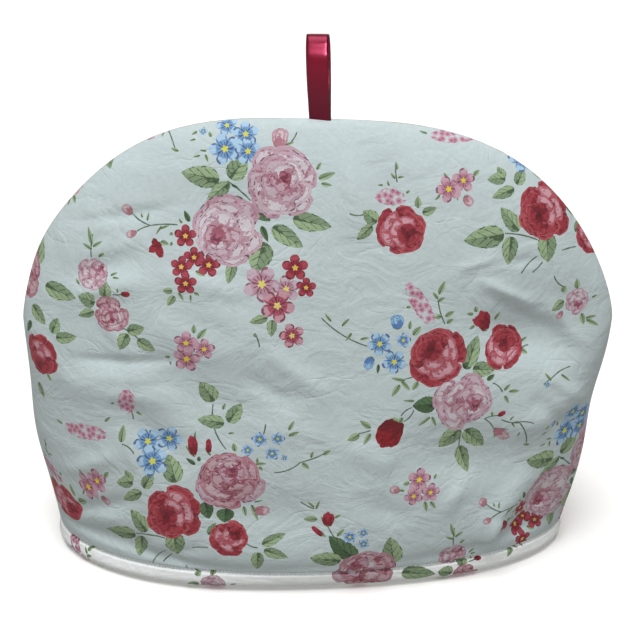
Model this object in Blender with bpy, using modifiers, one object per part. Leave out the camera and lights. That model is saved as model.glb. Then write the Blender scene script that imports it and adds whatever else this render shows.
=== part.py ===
"""Padded tea cosy: a front and a back panel seamed round the arch, and a ribbon loop in the top seam.

Metres, +Z up. The cosy stands open on its hem, on the plane z = 0. +X runs along the front to the
right, the front panel faces -Y, and the side and top seams lie in the plane y = 0. The origin is on
the resting plane, under the middle of the arch.

A panel is printed cotton over wadding. Its hem is turned up and stitched, which leaves a round roll
at the foot, a stitched ditch above it, and a puffed band where the wadding is free again.
"""

import math

import bpy
import numpy as np

# Whole cosy
WIDTH = 0.342
HEIGHT = 0.2745
HEM_WIDTH = 0.304
HEM_DEPTH = 0.125
WIDEST_AT = 0.1525
WALL = 0.006
SEAM_GAP = 0.0004

# Arch above the widest line: |x / half width| ** ARCH_ACROSS + (rise / full rise) ** ARCH_UP = 1
ARCH_ACROSS = 3.15
ARCH_UP = 1.36
SIDE_TAPER = 1.6

# How far the middle of the cosy leans to the left at its hem and at its top
HEM_LEAN = -0.0055
TOP_LEAN = -0.0009
LEAN_FREE_AT = 0.155

# The top edge falls towards the right by TOP_FALL of its length; the fall fades as (z / HEIGHT) ** FALL_FADE
TOP_FALL = 0.024
FALL_FADE = 8

# Where the soft sides are pushed out or in: side -1 is the left, push is outwards, lengths in millimetres
SIDE_PUSHES = (
    # side, height, spread, push
    (-1, 78, 30, 3.2),
    (-1, 206, 28, 3.3),
    (1, 98, 30, -4.0),
)

# Bulge of a panel: depth = half hem depth * (1 - r ** power) ** root, r = 0 at the hem's middle, 1 at the
# seam. The front is fuller on its left by FRONT_SKEW.
POWER_ACROSS, ROOT_ACROSS = 2.0, 0.50
POWER_UP, ROOT_UP = 1.7, 0.64
FRONT_SKEW = 0.09

# Turned hem
HEM_FOOT = 0.0050
ROLL_AT, ROLL_PROUD = 0.0042, 0.0010
DITCH_AT, DITCH_HALF, DITCH_DEEP = 0.0095, 0.0017, 0.0026
PUFF_AT, PUFF_PROUD = 0.036, 0.0050
DOME_FROM = 0.020

# Grid of a panel
COLUMNS = 40
HEM_ROWS = (0.0, 0.0018, 0.0042, 0.0070, 0.0095, 0.0122, 0.0155)
DOME_ROWS = 23
CLUSTER = 0.75
OVERRUN = 0.004

# Main folds of the front panel. A fold is a soft ridge, or a trough where its rise is negative, along a
# straight line from (x0, z0) to (x1, z1) in the plane of the seam, all in millimetres.
FRONT_FOLDS = (
    # x0, z0, x1, z1, half width, rise
    (-150, 176, -88, 197, 7, 1.3),
    (-158, 188, -95, 208, 9, -1.2),
    (-96, 178, -30, 128, 16, -2.2),
    (-118, 200, -20, 170, 17, 1.6),
    (-155, 128, -75, 126, 7, 1.0),
    (-118, 122, -70, 84, 12, -1.5),
    (18, 262, 22, 214, 9, 1.3),
    (36, 260, 44, 218, 8, -1.1),
    (95, 172, 160, 132, 12, -1.9),
    (84, 190, 150, 160, 9, 1.2),
    (108, 96, 160, 118, 10, 1.8),
    (92, 22, 124, 72, 9, 1.7),
    (110, 18, 142, 62, 9, -1.8),
    (-146, 24, -96, 30, 9, -1.6),
)
BACK_FOLDS = (
    # x0, z0, x1, z1, half width, rise
    (-152, 150, -86, 180, 9, 1.3),
    (-150, 100, -84, 118, 11, -1.6),
    (-60, 252, -52, 206, 9, 1.2),
    (-20, 190, 60, 160, 17, -1.7),
    (20, 140, 96, 116, 14, 1.4),
    (100, 178, 156, 150, 9, 1.2),
    (92, 96, 150, 82, 10, -1.4),
    (-128, 20, -92, 68, 9, 1.5),
    (104, 20, 130, 58, 9, -1.5),
)

# Ribbon loop, in the seam's plane, sewn in at SEAM_TOP_X
RIBBON_WIDTH = 0.0120
RIBBON_THICK = 0.0010
LOOP_HEIGHT = 0.0478
LOOP_HALF = 0.0070
LOOP_BULGE = 1.4
TAIL_DEEP = 0.009
SEAM_TOP_X = 0.0012
LOOP_LEAN_BACK = math.radians(-3.0)
LOOP_TILT = math.radians(-1.8)
LOOP_TURN = math.radians(-6.0)
SLOT_CLEAR = 0.0004
SLOT_ABOVE = 0.008

MM = 0.001

COTTON = {"name": "printed_cotton", "color": (0.80, 0.85, 0.84, 1.0), "roughness": 0.85}
SATIN = {"name": "red_satin", "color": (0.33, 0.008, 0.030, 1.0), "roughness": 0.38}


def clear_scene():
    """Removes every object, so that the file holds the cosy alone."""
    for obj in list(bpy.data.objects):
        bpy.data.objects.remove(obj, do_unlink=True)


def new_collection(name):
    collection = bpy.data.collections.new(name)
    bpy.context.scene.collection.children.link(collection)
    return collection


def new_material(finish):
    material = bpy.data.materials.new(finish["name"])
    material.use_nodes = True
    surface = material.node_tree.nodes["Principled BSDF"]
    surface.inputs["Base Color"].default_value = finish["color"]
    surface.inputs["Roughness"].default_value = finish["roughness"]
    surface.inputs["Metallic"].default_value = 0.0
    return material


def half_width(z):
    """Half the width of the seam's outline at height z: a superellipse above the widest line, a taper below."""
    rise = np.clip((z - WIDEST_AT) / (HEIGHT - WIDEST_AT), 0.0, 1.0)
    fall = np.clip((WIDEST_AT - z) / WIDEST_AT, 0.0, 1.0)
    upper = WIDTH / 2 * (1.0 - rise**ARCH_UP) ** (1.0 / ARCH_ACROSS)
    return upper - (WIDTH - HEM_WIDTH) / 2 * fall**SIDE_TAPER


def middle_x(z):
    """Where the middle of the outline stands at height z, because the cosy leans a little."""
    below = np.clip((LEAN_FREE_AT - z) / LEAN_FREE_AT, 0.0, 1.0)
    above = np.clip((z - LEAN_FREE_AT) / (HEIGHT - LEAN_FREE_AT), 0.0, 1.0)
    return HEM_LEAN * below**2 + TOP_LEAN * above**2


def side_push(x, z):
    """How far the outline is moved along X at (x, z): a bell up each pushed side, fading towards the middle."""
    moved = np.zeros_like(x)
    for side, height, spread, push in SIDE_PUSHES:
        reach = np.clip(2.0 * side * x / WIDTH, 0.0, 1.0) ** 2
        moved += side * push * MM * reach * np.exp(-(((z - height * MM) / (spread * MM)) ** 2))
    return moved


def arch_point(share):
    """The seam's outline above DOME_FROM at a share of its length, 0 at the right foot and 1 at the left."""
    steps = 1500
    z = DOME_FROM + (HEIGHT - DOME_FROM) * np.sin(np.linspace(0.0, math.pi / 2, steps))
    x = half_width(z)
    along = np.concatenate([[0.0], np.cumsum(np.hypot(np.diff(x), np.diff(z)))])
    half_share = 1.0 - np.abs(1.0 - 2.0 * share)
    height = np.interp(half_share * along[-1], along, z)
    across = np.interp(half_share * along[-1], along, x) * np.sign(1.0 - 2.0 * share)
    return across, height


def hem_offset(z):
    """How far the outside stands proud at height z because of the turned hem: a round roll, then a ditch."""
    roll = ROLL_PROUD * np.exp(-(((z - ROLL_AT) / 0.0040) ** 2))
    ditch = DITCH_DEEP * np.exp(-(((z - DITCH_AT) / DITCH_HALF) ** 2))
    tuck = 0.0012 * np.clip(1.0 - z / 0.0030, 0.0, 1.0) ** 2
    return roll - ditch - tuck


def puff(z):
    """How far the panel hangs out over its hem at height z: nothing at the foot, most at PUFF_AT."""
    return PUFF_PROUD * (z / PUFF_AT) * np.exp(1.0 - z / PUFF_AT)


def fold_height(x, z, folds):
    """Sum of the folds at (x, z): each is a bell across its line that fades out at both ends."""
    total = np.zeros_like(x)
    for x0, z0, x1, z1, half, rise in folds:
        run = np.array([x1 - x0, z1 - z0]) * MM
        length = np.hypot(*run)
        along = ((x - x0 * MM) * run[0] + (z - z0 * MM) * run[1]) / length**2
        off = ((x - x0 * MM) * run[1] - (z - z0 * MM) * run[0]) / length
        fade = np.clip(4.0 * along * (1.0 - along), 0.0, 1.0)
        total += rise * MM * fade * np.exp(-((off / (half * MM)) ** 2))
    return total


def clustered(steps):
    """Steps from 0 to 1 or -1 to 1 drawn towards the ends, where the panel turns into its seam."""
    return steps + CLUSTER * (np.sin(steps * math.pi / 2) - steps)


def panel_points(folds, side, skew):
    """The outside of a panel that faces -Y, as grids of x, y and z. Rows rise from the hem, columns run across.

    side is 1 for the front, and -1 for the back, whose lean and fall are mirrored before it is turned round.

    The hem rows are level. Above them the grid's square is bent on to the arch by the elliptical map
    (u sqrt(1 - v v / 2), v sqrt(1 - u u / 2)), so the outer ring of the grid follows the seam. The last
    ring on each side runs past the seam's plane, to be cut off there.
    """
    across = np.linspace(-1.0, 1.0, COLUMNS + 1)
    across = np.concatenate([[-1.0], clustered(across), [1.0]])
    past_side = np.zeros_like(across)
    past_side[[0, -1]] = OVERRUN

    hem_z = np.array((-OVERRUN,) + HEM_ROWS)[:, None]
    hem_level = np.maximum(hem_z, 0.0)
    hem_half = half_width(hem_level) + hem_offset(hem_level)
    bulge = HEM_DEPTH / 2 + puff(hem_level) + hem_offset(hem_level)
    hem_x = side * middle_x(hem_level) + across * hem_half
    hem_y = -bulge * np.sqrt(np.clip(1.0 - across**2, 0.0, None)) * (1.0 - skew * across) + past_side
    hem_z = hem_z + 0.0 * across

    up = np.concatenate([clustered(np.linspace(0.0, 1.0, DOME_ROWS + 1)), [1.0]])[:, None]
    past_top = np.zeros_like(up)
    past_top[-1] = OVERRUN
    disc_x = across * np.sqrt(1.0 - up**2 / 2)
    disc_z = up * np.sqrt(1.0 - across**2 / 2)
    radius = np.minimum(np.hypot(disc_x, disc_z), 1.0)
    arch_x, arch_z = arch_point(np.arctan2(disc_z, disc_x) / math.pi)
    dome_z = DOME_FROM + radius * (arch_z - DOME_FROM)
    level_x = radius * arch_x
    dome_x = side * middle_x(dome_z) + level_x
    rising = disc_z**2 / np.maximum(radius**2, 1e-9)
    power = POWER_ACROSS + (POWER_UP - POWER_ACROSS) * rising
    root = ROOT_ACROSS + (ROOT_UP - ROOT_ACROSS) * rising
    fullness = np.clip(1.0 - radius**power, 0.0, None) ** root
    dome_y = -(HEM_DEPTH / 2 + puff(dome_z) + hem_offset(dome_z)) * fullness * (1.0 - skew * disc_x)
    dome_y = dome_y - fold_height(dome_x, dome_z, folds) * np.clip(1.0 - radius**6, 0.0, 1.0)
    dome_y = dome_y + np.maximum(past_side, past_top)
    dome_z = dome_z - side * TOP_FALL * dome_x * (dome_z / HEIGHT) ** FALL_FADE

    x, y, z = (np.concatenate(pair) for pair in ((hem_x, dome_x), (hem_y, dome_y), (hem_z, dome_z)))
    return x + side * side_push(side * x, z), y, z


def wall_share(z):
    """The padded wall's thickness at height z over WALL: pinched at the foot and in the ditch, full above."""
    foot = (1.0 - HEM_FOOT / WALL) * np.exp(-((z / 0.0025) ** 2))
    pinch = 0.42 * np.exp(-(((z - DITCH_AT) / (1.3 * DITCH_HALF)) ** 2))
    return np.clip(1.0 - foot - pinch, 0.05, 1.0)


def new_panel(name, folds, facing, skew, collection, material):
    """A panel as an open grid with its wall given by Solidify; facing is -1 for the front, 1 for the back."""
    x, y, z = panel_points(folds, -facing, skew)
    rows, columns = x.shape
    points = np.stack([x * -facing, y * -facing, z], axis=-1).reshape(-1, 3)
    index = np.arange(rows * columns).reshape(rows, columns)
    quads = np.stack([index[:-1, :-1], index[:-1, 1:], index[1:, 1:], index[1:, :-1]], axis=-1)
    mesh = bpy.data.meshes.new(name)
    mesh.from_pydata(points.tolist(), [], quads.reshape(-1, 4).tolist())
    mesh.shade_smooth()
    mesh.materials.append(material)
    panel = bpy.data.objects.new(name, mesh)
    collection.objects.link(panel)

    wadding = panel.vertex_groups.new(name="wadding")
    for vertex, share in enumerate(wall_share(z).reshape(-1)):
        wadding.add([vertex], float(share), "REPLACE")
    wall = panel.modifiers.new("wall", "SOLIDIFY")
    wall.thickness = WALL
    wall.offset = -1.0
    wall.vertex_group = wadding.name
    return panel


def new_box(name, low, high, collection):
    """A box between two corners, made from the cube primitive and kept out of the render."""
    low, high = np.array(low), np.array(high)
    bpy.ops.mesh.primitive_cube_add(size=1.0, location=(low + high) / 2)
    box = bpy.context.object
    box.name = name
    box.scale = high - low
    for owner in list(box.users_collection):
        owner.objects.unlink(box)
    collection.objects.link(box)
    box.hide_render = True
    box.display_type = "WIRE"
    return box


def cut(target, operation, cutter):
    """Adds a Boolean of the given operation to an object."""
    boolean = target.modifiers.new(cutter.name, "BOOLEAN")
    boolean.operation = operation
    boolean.object = cutter


def loop_profile(inset):
    """The ribbon's edge as (y, z) points, from the tail up one leg and down the other.

    The half gap grows from the tail as LOOP_HALF * sin(...) ** LOOP_BULGE and closes in a half circle.
    """
    crown = LOOP_HEIGHT - LOOP_HALF
    rise = np.linspace(0.0, 1.0, 15)
    half = RIBBON_THICK + (LOOP_HALF - RIBBON_THICK) * np.sin(rise * math.pi / 2) ** LOOP_BULGE
    leg = np.stack([half - inset, crown * rise], axis=-1)
    turn = np.linspace(0.0, math.pi, 15)[1:-1]
    round_top = np.stack([np.cos(turn), np.sin(turn)], axis=-1) * (LOOP_HALF - inset)
    right = np.concatenate([leg, round_top + (0.0, crown)])
    left = leg[::-1] * (-1.0, 1.0)
    return np.concatenate([right, left])


def new_ribbon_loop(collection, material):
    """The folded ribbon: a flat outline with its hole, extruded to the ribbon's width."""
    outer = loop_profile(0.0)
    tail = np.array([(-RIBBON_THICK, -TAIL_DEEP), (RIBBON_THICK, -TAIL_DEEP)])
    outer = np.concatenate([tail, outer])
    inner = loop_profile(RIBBON_THICK)
    open_part = np.abs(inner[:, 0]) > RIBBON_THICK / 5
    crown = inner[:, 1] > LOOP_HEIGHT / 2
    inner = inner[open_part | crown]

    outline = bpy.data.curves.new("ribbon_loop", "CURVE")
    outline.dimensions = "2D"
    outline.fill_mode = "BOTH"
    outline.extrude = RIBBON_WIDTH / 2
    for ring in (outer, inner):
        spline = outline.splines.new("POLY")
        spline.points.add(len(ring) - 1)
        spline.points.foreach_set("co", np.c_[ring, np.zeros(len(ring)), np.ones(len(ring))].reshape(-1))
        spline.use_cyclic_u = True
    outline.materials.append(material)
    loop = bpy.data.objects.new("ribbon_loop", outline)
    collection.objects.link(loop)
    return loop


def seat_ribbon(loop, slot):
    """Stands the ribbon and its slot on the top seam, leaning back, tilted and turned as the loop hangs."""
    seat = bpy.data.objects.new("ribbon_seat", None)
    loop.users_collection[0].objects.link(seat)
    seat.location = (SEAM_TOP_X, 0.0, HEIGHT)
    seat.rotation_euler = (LOOP_LEAN_BACK, LOOP_TILT, LOOP_TURN)
    upright = (math.pi / 2, 0.0, math.pi / 2)
    loop.parent = seat
    loop.rotation_euler = upright
    slot.parent = seat


def main():
    clear_scene()
    cosy = new_collection("tea_cosy")
    cutters = new_collection("cutters")
    cotton = new_material(COTTON)
    satin = new_material(SATIN)

    front = new_panel("front_panel", FRONT_FOLDS, -1, FRONT_SKEW, cosy, cotton)
    back = new_panel("back_panel", BACK_FOLDS, 1, 0.0, cosy, cotton)
    ribbon = new_ribbon_loop(cosy, satin)

    reach = WIDTH
    slot_half = (RIBBON_WIDTH / 2 + SLOT_CLEAR, RIBBON_THICK + SLOT_CLEAR)
    slot = new_box(
        "ribbon_slot",
        (-slot_half[0], -slot_half[1], -TAIL_DEEP - SLOT_CLEAR),
        (slot_half[0], slot_half[1], SLOT_ABOVE),
        cutters,
    )
    seat_ribbon(ribbon, slot)
    for panel, side in ((front, -1), (back, 1)):
        near, far = sorted((side * SEAM_GAP / 2, side * reach))
        space = new_box(f"{panel.name}_space", (-reach, near, 0.0), (reach, far, reach), cutters)
        cut(panel, "INTERSECT", space)
        cut(panel, "DIFFERENCE", slot)


main()
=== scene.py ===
"""Padded tea cosy in rose-printed cotton, with a satin ribbon loop, standing open on its hem.

Two bulged panels are seamed round a broad arch. Each is one padded wall whose lower edge is turned up
and stitched. The print is drawn by the panel's own material from shapes laid out on the flat cloth.
Lengths are metres in the meshes and millimetres on the flat cloth.
"""

import logging
import math
from dataclasses import dataclass, field, replace
from enum import Enum, IntEnum

import bpy
import numpy as np
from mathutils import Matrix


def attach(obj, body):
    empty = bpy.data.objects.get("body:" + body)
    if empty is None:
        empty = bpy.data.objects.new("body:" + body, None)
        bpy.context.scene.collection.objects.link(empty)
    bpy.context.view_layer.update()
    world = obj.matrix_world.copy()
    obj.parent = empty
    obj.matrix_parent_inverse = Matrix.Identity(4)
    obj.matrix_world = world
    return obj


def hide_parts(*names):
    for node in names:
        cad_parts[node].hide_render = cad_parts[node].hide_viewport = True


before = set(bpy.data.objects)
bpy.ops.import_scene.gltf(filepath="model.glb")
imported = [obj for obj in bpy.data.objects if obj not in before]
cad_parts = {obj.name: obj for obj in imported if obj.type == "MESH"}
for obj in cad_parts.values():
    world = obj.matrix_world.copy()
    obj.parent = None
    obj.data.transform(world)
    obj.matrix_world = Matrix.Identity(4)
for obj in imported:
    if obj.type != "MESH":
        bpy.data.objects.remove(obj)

LOG = logging.getLogger("tea_cosy")
MM = 0.001
Array = np.ndarray


def soft_step(value: Array, low: float, high: float) -> Array:
    """Rises smoothly from 0 at low to 1 at high: 3 x x - 2 x x x of the clipped share.

    Args:
        value: where to evaluate.
        low: start of the rise.
        high: end of the rise.

    Returns:
        The share, from 0 to 1.
    """
    x = np.clip((value - low) / (high - low), 0.0, 1.0)
    return x * x * (3.0 - 2.0 * x)


@dataclass(frozen=True)
class Fold:
    """A soft ridge, or a trough where the rise is negative, along a line in the seam's plane, in mm."""

    x0: float
    z0: float
    x1: float
    z1: float
    half: float
    rise: float


@dataclass(frozen=True)
class Pull:
    """A place where the cloth is drawn aside, in mm: what was at (s + ds, t + dt) now lies at (s, t)."""

    s: float
    t: float
    half: float
    ds: float
    dt: float


@dataclass(frozen=True)
class SidePush:
    """A soft push of one side of the outline: side -1 is the left, push is outwards, in mm."""

    side: int
    height: float
    spread: float
    push: float


@dataclass(frozen=True)
class Arch:
    """Outline of the cosy in the plane of its seam, the same for both panels."""

    width: float = 0.342
    height: float = 0.2745
    hem_width: float = 0.304
    widest_at: float = 0.1525
    power_across: float = 3.15
    power_up: float = 1.36
    taper: float = 1.6
    hem_lean: float = -0.0055
    top_lean: float = -0.0009
    lean_free_at: float = 0.155
    top_fall: float = 0.024
    fall_fade: int = 8
    dome_from: float = 0.020
    pushes: tuple[SidePush, ...] = (
        SidePush(-1, 78, 30, 3.2),
        SidePush(-1, 206, 28, 3.3),
        SidePush(1, 98, 30, -4.0),
    )

    def half_width(self, z: Array) -> Array:
        """Half the width at height z: a superellipse above the widest line, a taper below it.

        Args:
            z: heights.

        Returns:
            Half widths.
        """
        rise = np.clip((z - self.widest_at) / (self.height - self.widest_at), 0.0, 1.0)
        fall = np.clip((self.widest_at - z) / self.widest_at, 0.0, 1.0)
        upper = self.width / 2 * (1.0 - rise**self.power_up) ** (1.0 / self.power_across)
        return upper - (self.width - self.hem_width) / 2 * fall**self.taper

    def middle(self, z: Array) -> Array:
        """Where the middle of the outline stands at height z: the lean grows with the square of the way.

        Args:
            z: heights.

        Returns:
            X of the middle.
        """
        below = np.clip((self.lean_free_at - z) / self.lean_free_at, 0.0, 1.0)
        above = np.clip((z - self.lean_free_at) / (self.height - self.lean_free_at), 0.0, 1.0)
        return self.hem_lean * below**2 + self.top_lean * above**2

    def pushed(self, x: Array, z: Array) -> Array:
        """Sum of the side pushes at (x, z): a bell up the side, fading with the square towards the middle.

        Args:
            x: places across.
            z: heights.

        Returns:
            How far each point moves along X.
        """
        moved = np.zeros(np.broadcast(x, z).shape)
        for push in self.pushes:
            reach = np.clip(2.0 * push.side * x / self.width, 0.0, 1.0) ** 2
            bell = np.exp(-(((z - push.height * MM) / (push.spread * MM)) ** 2))
            moved = moved + push.side * push.push * MM * reach * bell
        return moved

    def point(self, share: Array) -> tuple[Array, Array]:
        """The outline above dome_from at equal steps of its length, by interpolating its running length.

        Args:
            share: 0 at the right foot, 1 at the left foot.

        Returns:
            X from the middle line, and Z.
        """
        z = self.dome_from + (self.height - self.dome_from) * np.sin(np.linspace(0.0, math.pi / 2, 2500))
        x = self.half_width(z)
        along = np.concatenate([[0.0], np.cumsum(np.hypot(np.diff(x), np.diff(z)))])
        half_share = 1.0 - np.abs(1.0 - 2.0 * share)
        rise = np.interp(half_share * along[-1], along, z)
        across = np.interp(half_share * along[-1], along, x) * np.sign(1.0 - 2.0 * share)
        return across, rise


@dataclass(frozen=True)
class Hem:
    """The turned and stitched foot of a panel: a round roll, a stitched ditch and the puff above it."""

    roll_at: float = 0.0056
    roll_proud: float = 0.0022
    roll_half: float = 0.0052
    ditch_at: float = 0.0138
    ditch_half: float = 0.0010
    ditch_deep: float = 0.0030
    tuck: float = 0.0012
    puff_at: float = 0.036
    puff_proud: float = 0.0050
    tuck_at: float = 0.0206
    tuck_half: float = 0.0032
    tuck_deep: float = 0.0034
    swell_above: float = 0.0120
    swell_half: float = 0.0080
    swell_proud: float = 0.0010
    drawn_in: float = 0.0056

    def turn_under(self, x: Array, z: Array) -> Array:
        """How far the padding's lower edge, turned under above the ditch, stands proud of the smooth panel.

        A trough follows a wavy line over the hem, with a swell above it: both are bells in z, and the wave is
        two sines of x. The middle of the hem is much shallower than its ends, and its foot is drawn in by a square
        of what is left of z, times a square that fades out 120 mm to each side.

        Args:
            x: places across.
            z: heights above the resting plane.

        Returns:
            Offsets, negative in the trough.
        """
        line = self.tuck_at + 0.0014 * np.sin(x / 0.021 + 0.8) + 0.0018 * np.sin(x / 0.047 - 0.6)
        line = line + 0.004 * soft_step(np.abs(x), 0.05, 0.14)
        share = 0.12 + 0.70 * soft_step(np.abs(x - 0.010), 0.04, 0.10)
        trough = self.tuck_deep * np.exp(-(((z - line) / self.tuck_half) ** 2))
        swell = self.swell_proud * np.exp(-(((z - line - self.swell_above) / self.swell_half) ** 2))
        window = np.clip(1.0 - ((x - 0.005) / 0.12) ** 2, 0.0, 1.0) ** 2
        foot = self.drawn_in * window * np.clip(1.0 - z / 0.030, 0.0, 1.0) ** 2
        return share * (swell - trough) - foot

    def offset(self, z: Array) -> Array:
        """How far the outside stands proud at height z: the roll's bell less the ditch's, and a tucked foot.

        Args:
            z: heights above the resting plane.

        Returns:
            Offsets, negative in the ditch.
        """
        roll = self.roll_proud * np.exp(-(((z - self.roll_at) / self.roll_half) ** 2))
        ditch = self.ditch_deep * np.exp(-(((z - self.ditch_at) / self.ditch_half) ** 2))
        return roll - ditch - self.tuck * np.clip(1.0 - z / 0.0030, 0.0, 1.0) ** 2

    def puff(self, z: Array) -> Array:
        """How far the panel hangs out over its hem: z / puff_at times e to the power 1 - z / puff_at.

        Args:
            z: heights above the resting plane.

        Returns:
            Offsets.
        """
        return self.puff_proud * (z / self.puff_at) * np.exp(1.0 - z / self.puff_at)


@dataclass(frozen=True)
class Sheet:
    """A panel's outside as grids: x, y, z in metres; s, t and the level above the hem's top in mm of cloth."""

    x: Array
    y: Array
    z: Array
    s: Array
    t: Array
    level: Array


@dataclass
class PanelShape:
    """Outside and wall of one padded panel, worked out as if it faced the front.

    side is 1 for the front and -1 for the back, whose outline is mirrored because it is then turned round.
    """

    arch: Arch
    hem: Hem
    side: int
    skew: float
    folds: tuple[Fold, ...]
    pulls: tuple[Pull, ...] = ()
    depth: float = 0.125
    power_side: float = 2.0
    root_side: float = 0.50
    power_top: float = 1.7
    root_top: float = 0.64
    wall: float = 0.006
    columns: int = 236
    hem_rows: int = 36
    dome_rows: int = 158
    cluster: float = 0.72
    fold_gain: float = 2.3

    def dome(self, radius: Array, share: Array) -> tuple[Array, Array, Array]:
        """Outside above the hem: the outline shrunk towards the hem's middle, bulged by its radius.

        The depth is half the hem's depth and the puff, times (1 - radius ** power) ** root.

        Args:
            radius: 0 at the hem's middle, 1 at the seam.
            share: place along the outline, 0 at the right foot, 1 at the left foot.

        Returns:
            X, Y and Z.
        """
        arch_x, arch_z = self.arch.point(share)
        z = self.arch.dome_from + radius * (arch_z - self.arch.dome_from)
        x = self.side * self.arch.middle(z) + radius * arch_x
        rising = np.sin(share * math.pi) ** 2
        power = self.power_side + (self.power_top - self.power_side) * rising
        root = self.root_side + (self.root_top - self.root_side) * rising
        full = np.clip(1.0 - radius**power, 0.0, None) ** root * (1.0 - self.skew * radius * np.cos(share * math.pi))
        y = -(self.depth / 2 + self.hem.puff(z) + self.hem.offset(z) + self.hem.turn_under(x, z)) * full
        z = z - self.side * self.arch.top_fall * x * (z / self.arch.height) ** self.arch.fall_fade
        return x + self.side * self.arch.pushed(self.side * x, z), y, z

    def foot(self, across: Array, z: Array) -> tuple[Array, Array, Array]:
        """Outside of the hem's level rows: half an ellipse at each height, with the roll and the ditch.

        Args:
            across: -1 at the left end to 1 at the right end.
            z: heights from 0 to dome_from.

        Returns:
            X, Y and Z.
        """
        half = self.arch.half_width(z) + self.hem.offset(z)
        x = self.side * self.arch.middle(z) + across * half
        bulge = self.depth / 2 + self.hem.puff(z) + self.hem.offset(z) + self.hem.turn_under(x, z)
        y = -bulge * np.sqrt(np.clip(1.0 - across**2, 0.0, None)) * (1.0 - self.skew * across)
        z = z + 0.0 * across
        return x + self.side * self.arch.pushed(self.side * x, z), y, z

    def creased(self, points: tuple[Array, Array, Array], radius: Array) -> tuple[Array, Array, Array]:
        """Moves the smooth outside along its normal by the folds, which fade towards the seam and the hem.

        Args:
            points: X, Y and Z of the smooth outside.
            radius: 0 at the hem's middle, 1 at the seam.

        Returns:
            X, Y and Z.
        """
        grid = np.stack(points, axis=-1)
        normal = np.cross(np.gradient(grid, axis=1), np.gradient(grid, axis=0))
        normal = normal / np.maximum(np.linalg.norm(normal, axis=-1, keepdims=True), 1e-12)
        low = self.arch.dome_from
        fade = np.clip(1.0 - radius**8, 0.0, 1.0) * soft_step(points[2], low, low + 0.010)
        moved = grid + normal * (self.fold_height(points[0], points[2]) * fade)[..., None]
        return moved[..., 0], np.minimum(moved[..., 1], 0.0), moved[..., 2]

    def fold_height(self, x: Array, z: Array) -> Array:
        """Sum of the folds at (x, z): a bell across each line, times 4 a (1 - a) along it so it fades out.

        Args:
            x: places across.
            z: heights.

        Returns:
            How far the outside stands proud.
        """
        total = np.zeros(x.shape)
        for fold in self.folds:
            run = np.array([fold.x1 - fold.x0, fold.z1 - fold.z0]) * MM
            length = float(np.hypot(*run))
            along = ((x - fold.x0 * MM) * run[0] + (z - fold.z0 * MM) * run[1]) / length**2
            off = ((x - fold.x0 * MM) * run[1] - (z - fold.z0 * MM) * run[0]) / length
            fade = np.clip(4.0 * along * (1.0 - along), 0.0, 1.0)
            total = total + self.fold_gain * fold.rise * MM * fade * np.exp(-((off / (fold.half * MM)) ** 2))
        return total

    def steps(self, count: int, low: float) -> Array:
        """Even steps from low to 1 drawn towards the ends by a share of a sine.

        Args:
            count: number of steps.
            low: -1 or 0.

        Returns:
            The steps' ends.
        """
        even = np.linspace(low, 1.0, count + 1)
        return even + self.cluster * (np.sin(even * math.pi / 2) - even)

    def flat(self, radius: Array, share: Array) -> tuple[Array, Array]:
        """Places on the flat cloth: each ray from the hem's middle is laid out at its length on the bulge.

        Args:
            radius: 0 at the hem's middle, 1 at the seam.
            share: place along the outline.

        Returns:
            S across and T up, in millimetres, from the middle of the hem's top.
        """
        smooth = PanelShape(self.arch, self.hem, self.side, self.skew, ())
        radii = np.sin(np.linspace(0.0, math.pi / 2, 240))
        shares = np.linspace(0.0, 1.0, 241)
        points = np.stack(smooth.dome(radii[:, None] + 0.0 * shares, shares[None, :] + 0.0 * radii[:, None]))
        lengths = np.sqrt((np.diff(points, axis=1) ** 2).sum(axis=0))
        lengths = np.concatenate([np.zeros((1, len(shares))), np.cumsum(lengths, axis=0)])
        row = np.clip(np.arcsin(np.clip(radius, 0.0, 1.0)) / (math.pi / 2) * 239, 0.0, 238.999)
        column = np.clip(share * 240, 0.0, 239.999)
        i, j = row.astype(int), column.astype(int)
        a, b = row - i, column - j
        length = (
            lengths[i, j] * (1 - a) * (1 - b)
            + lengths[i + 1, j] * a * (1 - b)
            + lengths[i, j + 1] * (1 - a) * b
            + lengths[i + 1, j + 1] * a * b
        )
        arch_x, arch_z = self.arch.point(share)
        reach = np.hypot(arch_x, arch_z - self.arch.dome_from)
        s, t = length * arch_x / reach / MM, length * (arch_z - self.arch.dome_from) / reach / MM
        drawn = [np.exp(-((s - p.s) ** 2 + (t - p.t) ** 2) / p.half**2) for p in self.pulls]
        moved_s = s + sum(p.ds * bell for p, bell in zip(self.pulls, drawn))
        return moved_s, t + sum(p.dt * bell for p, bell in zip(self.pulls, drawn))

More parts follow.
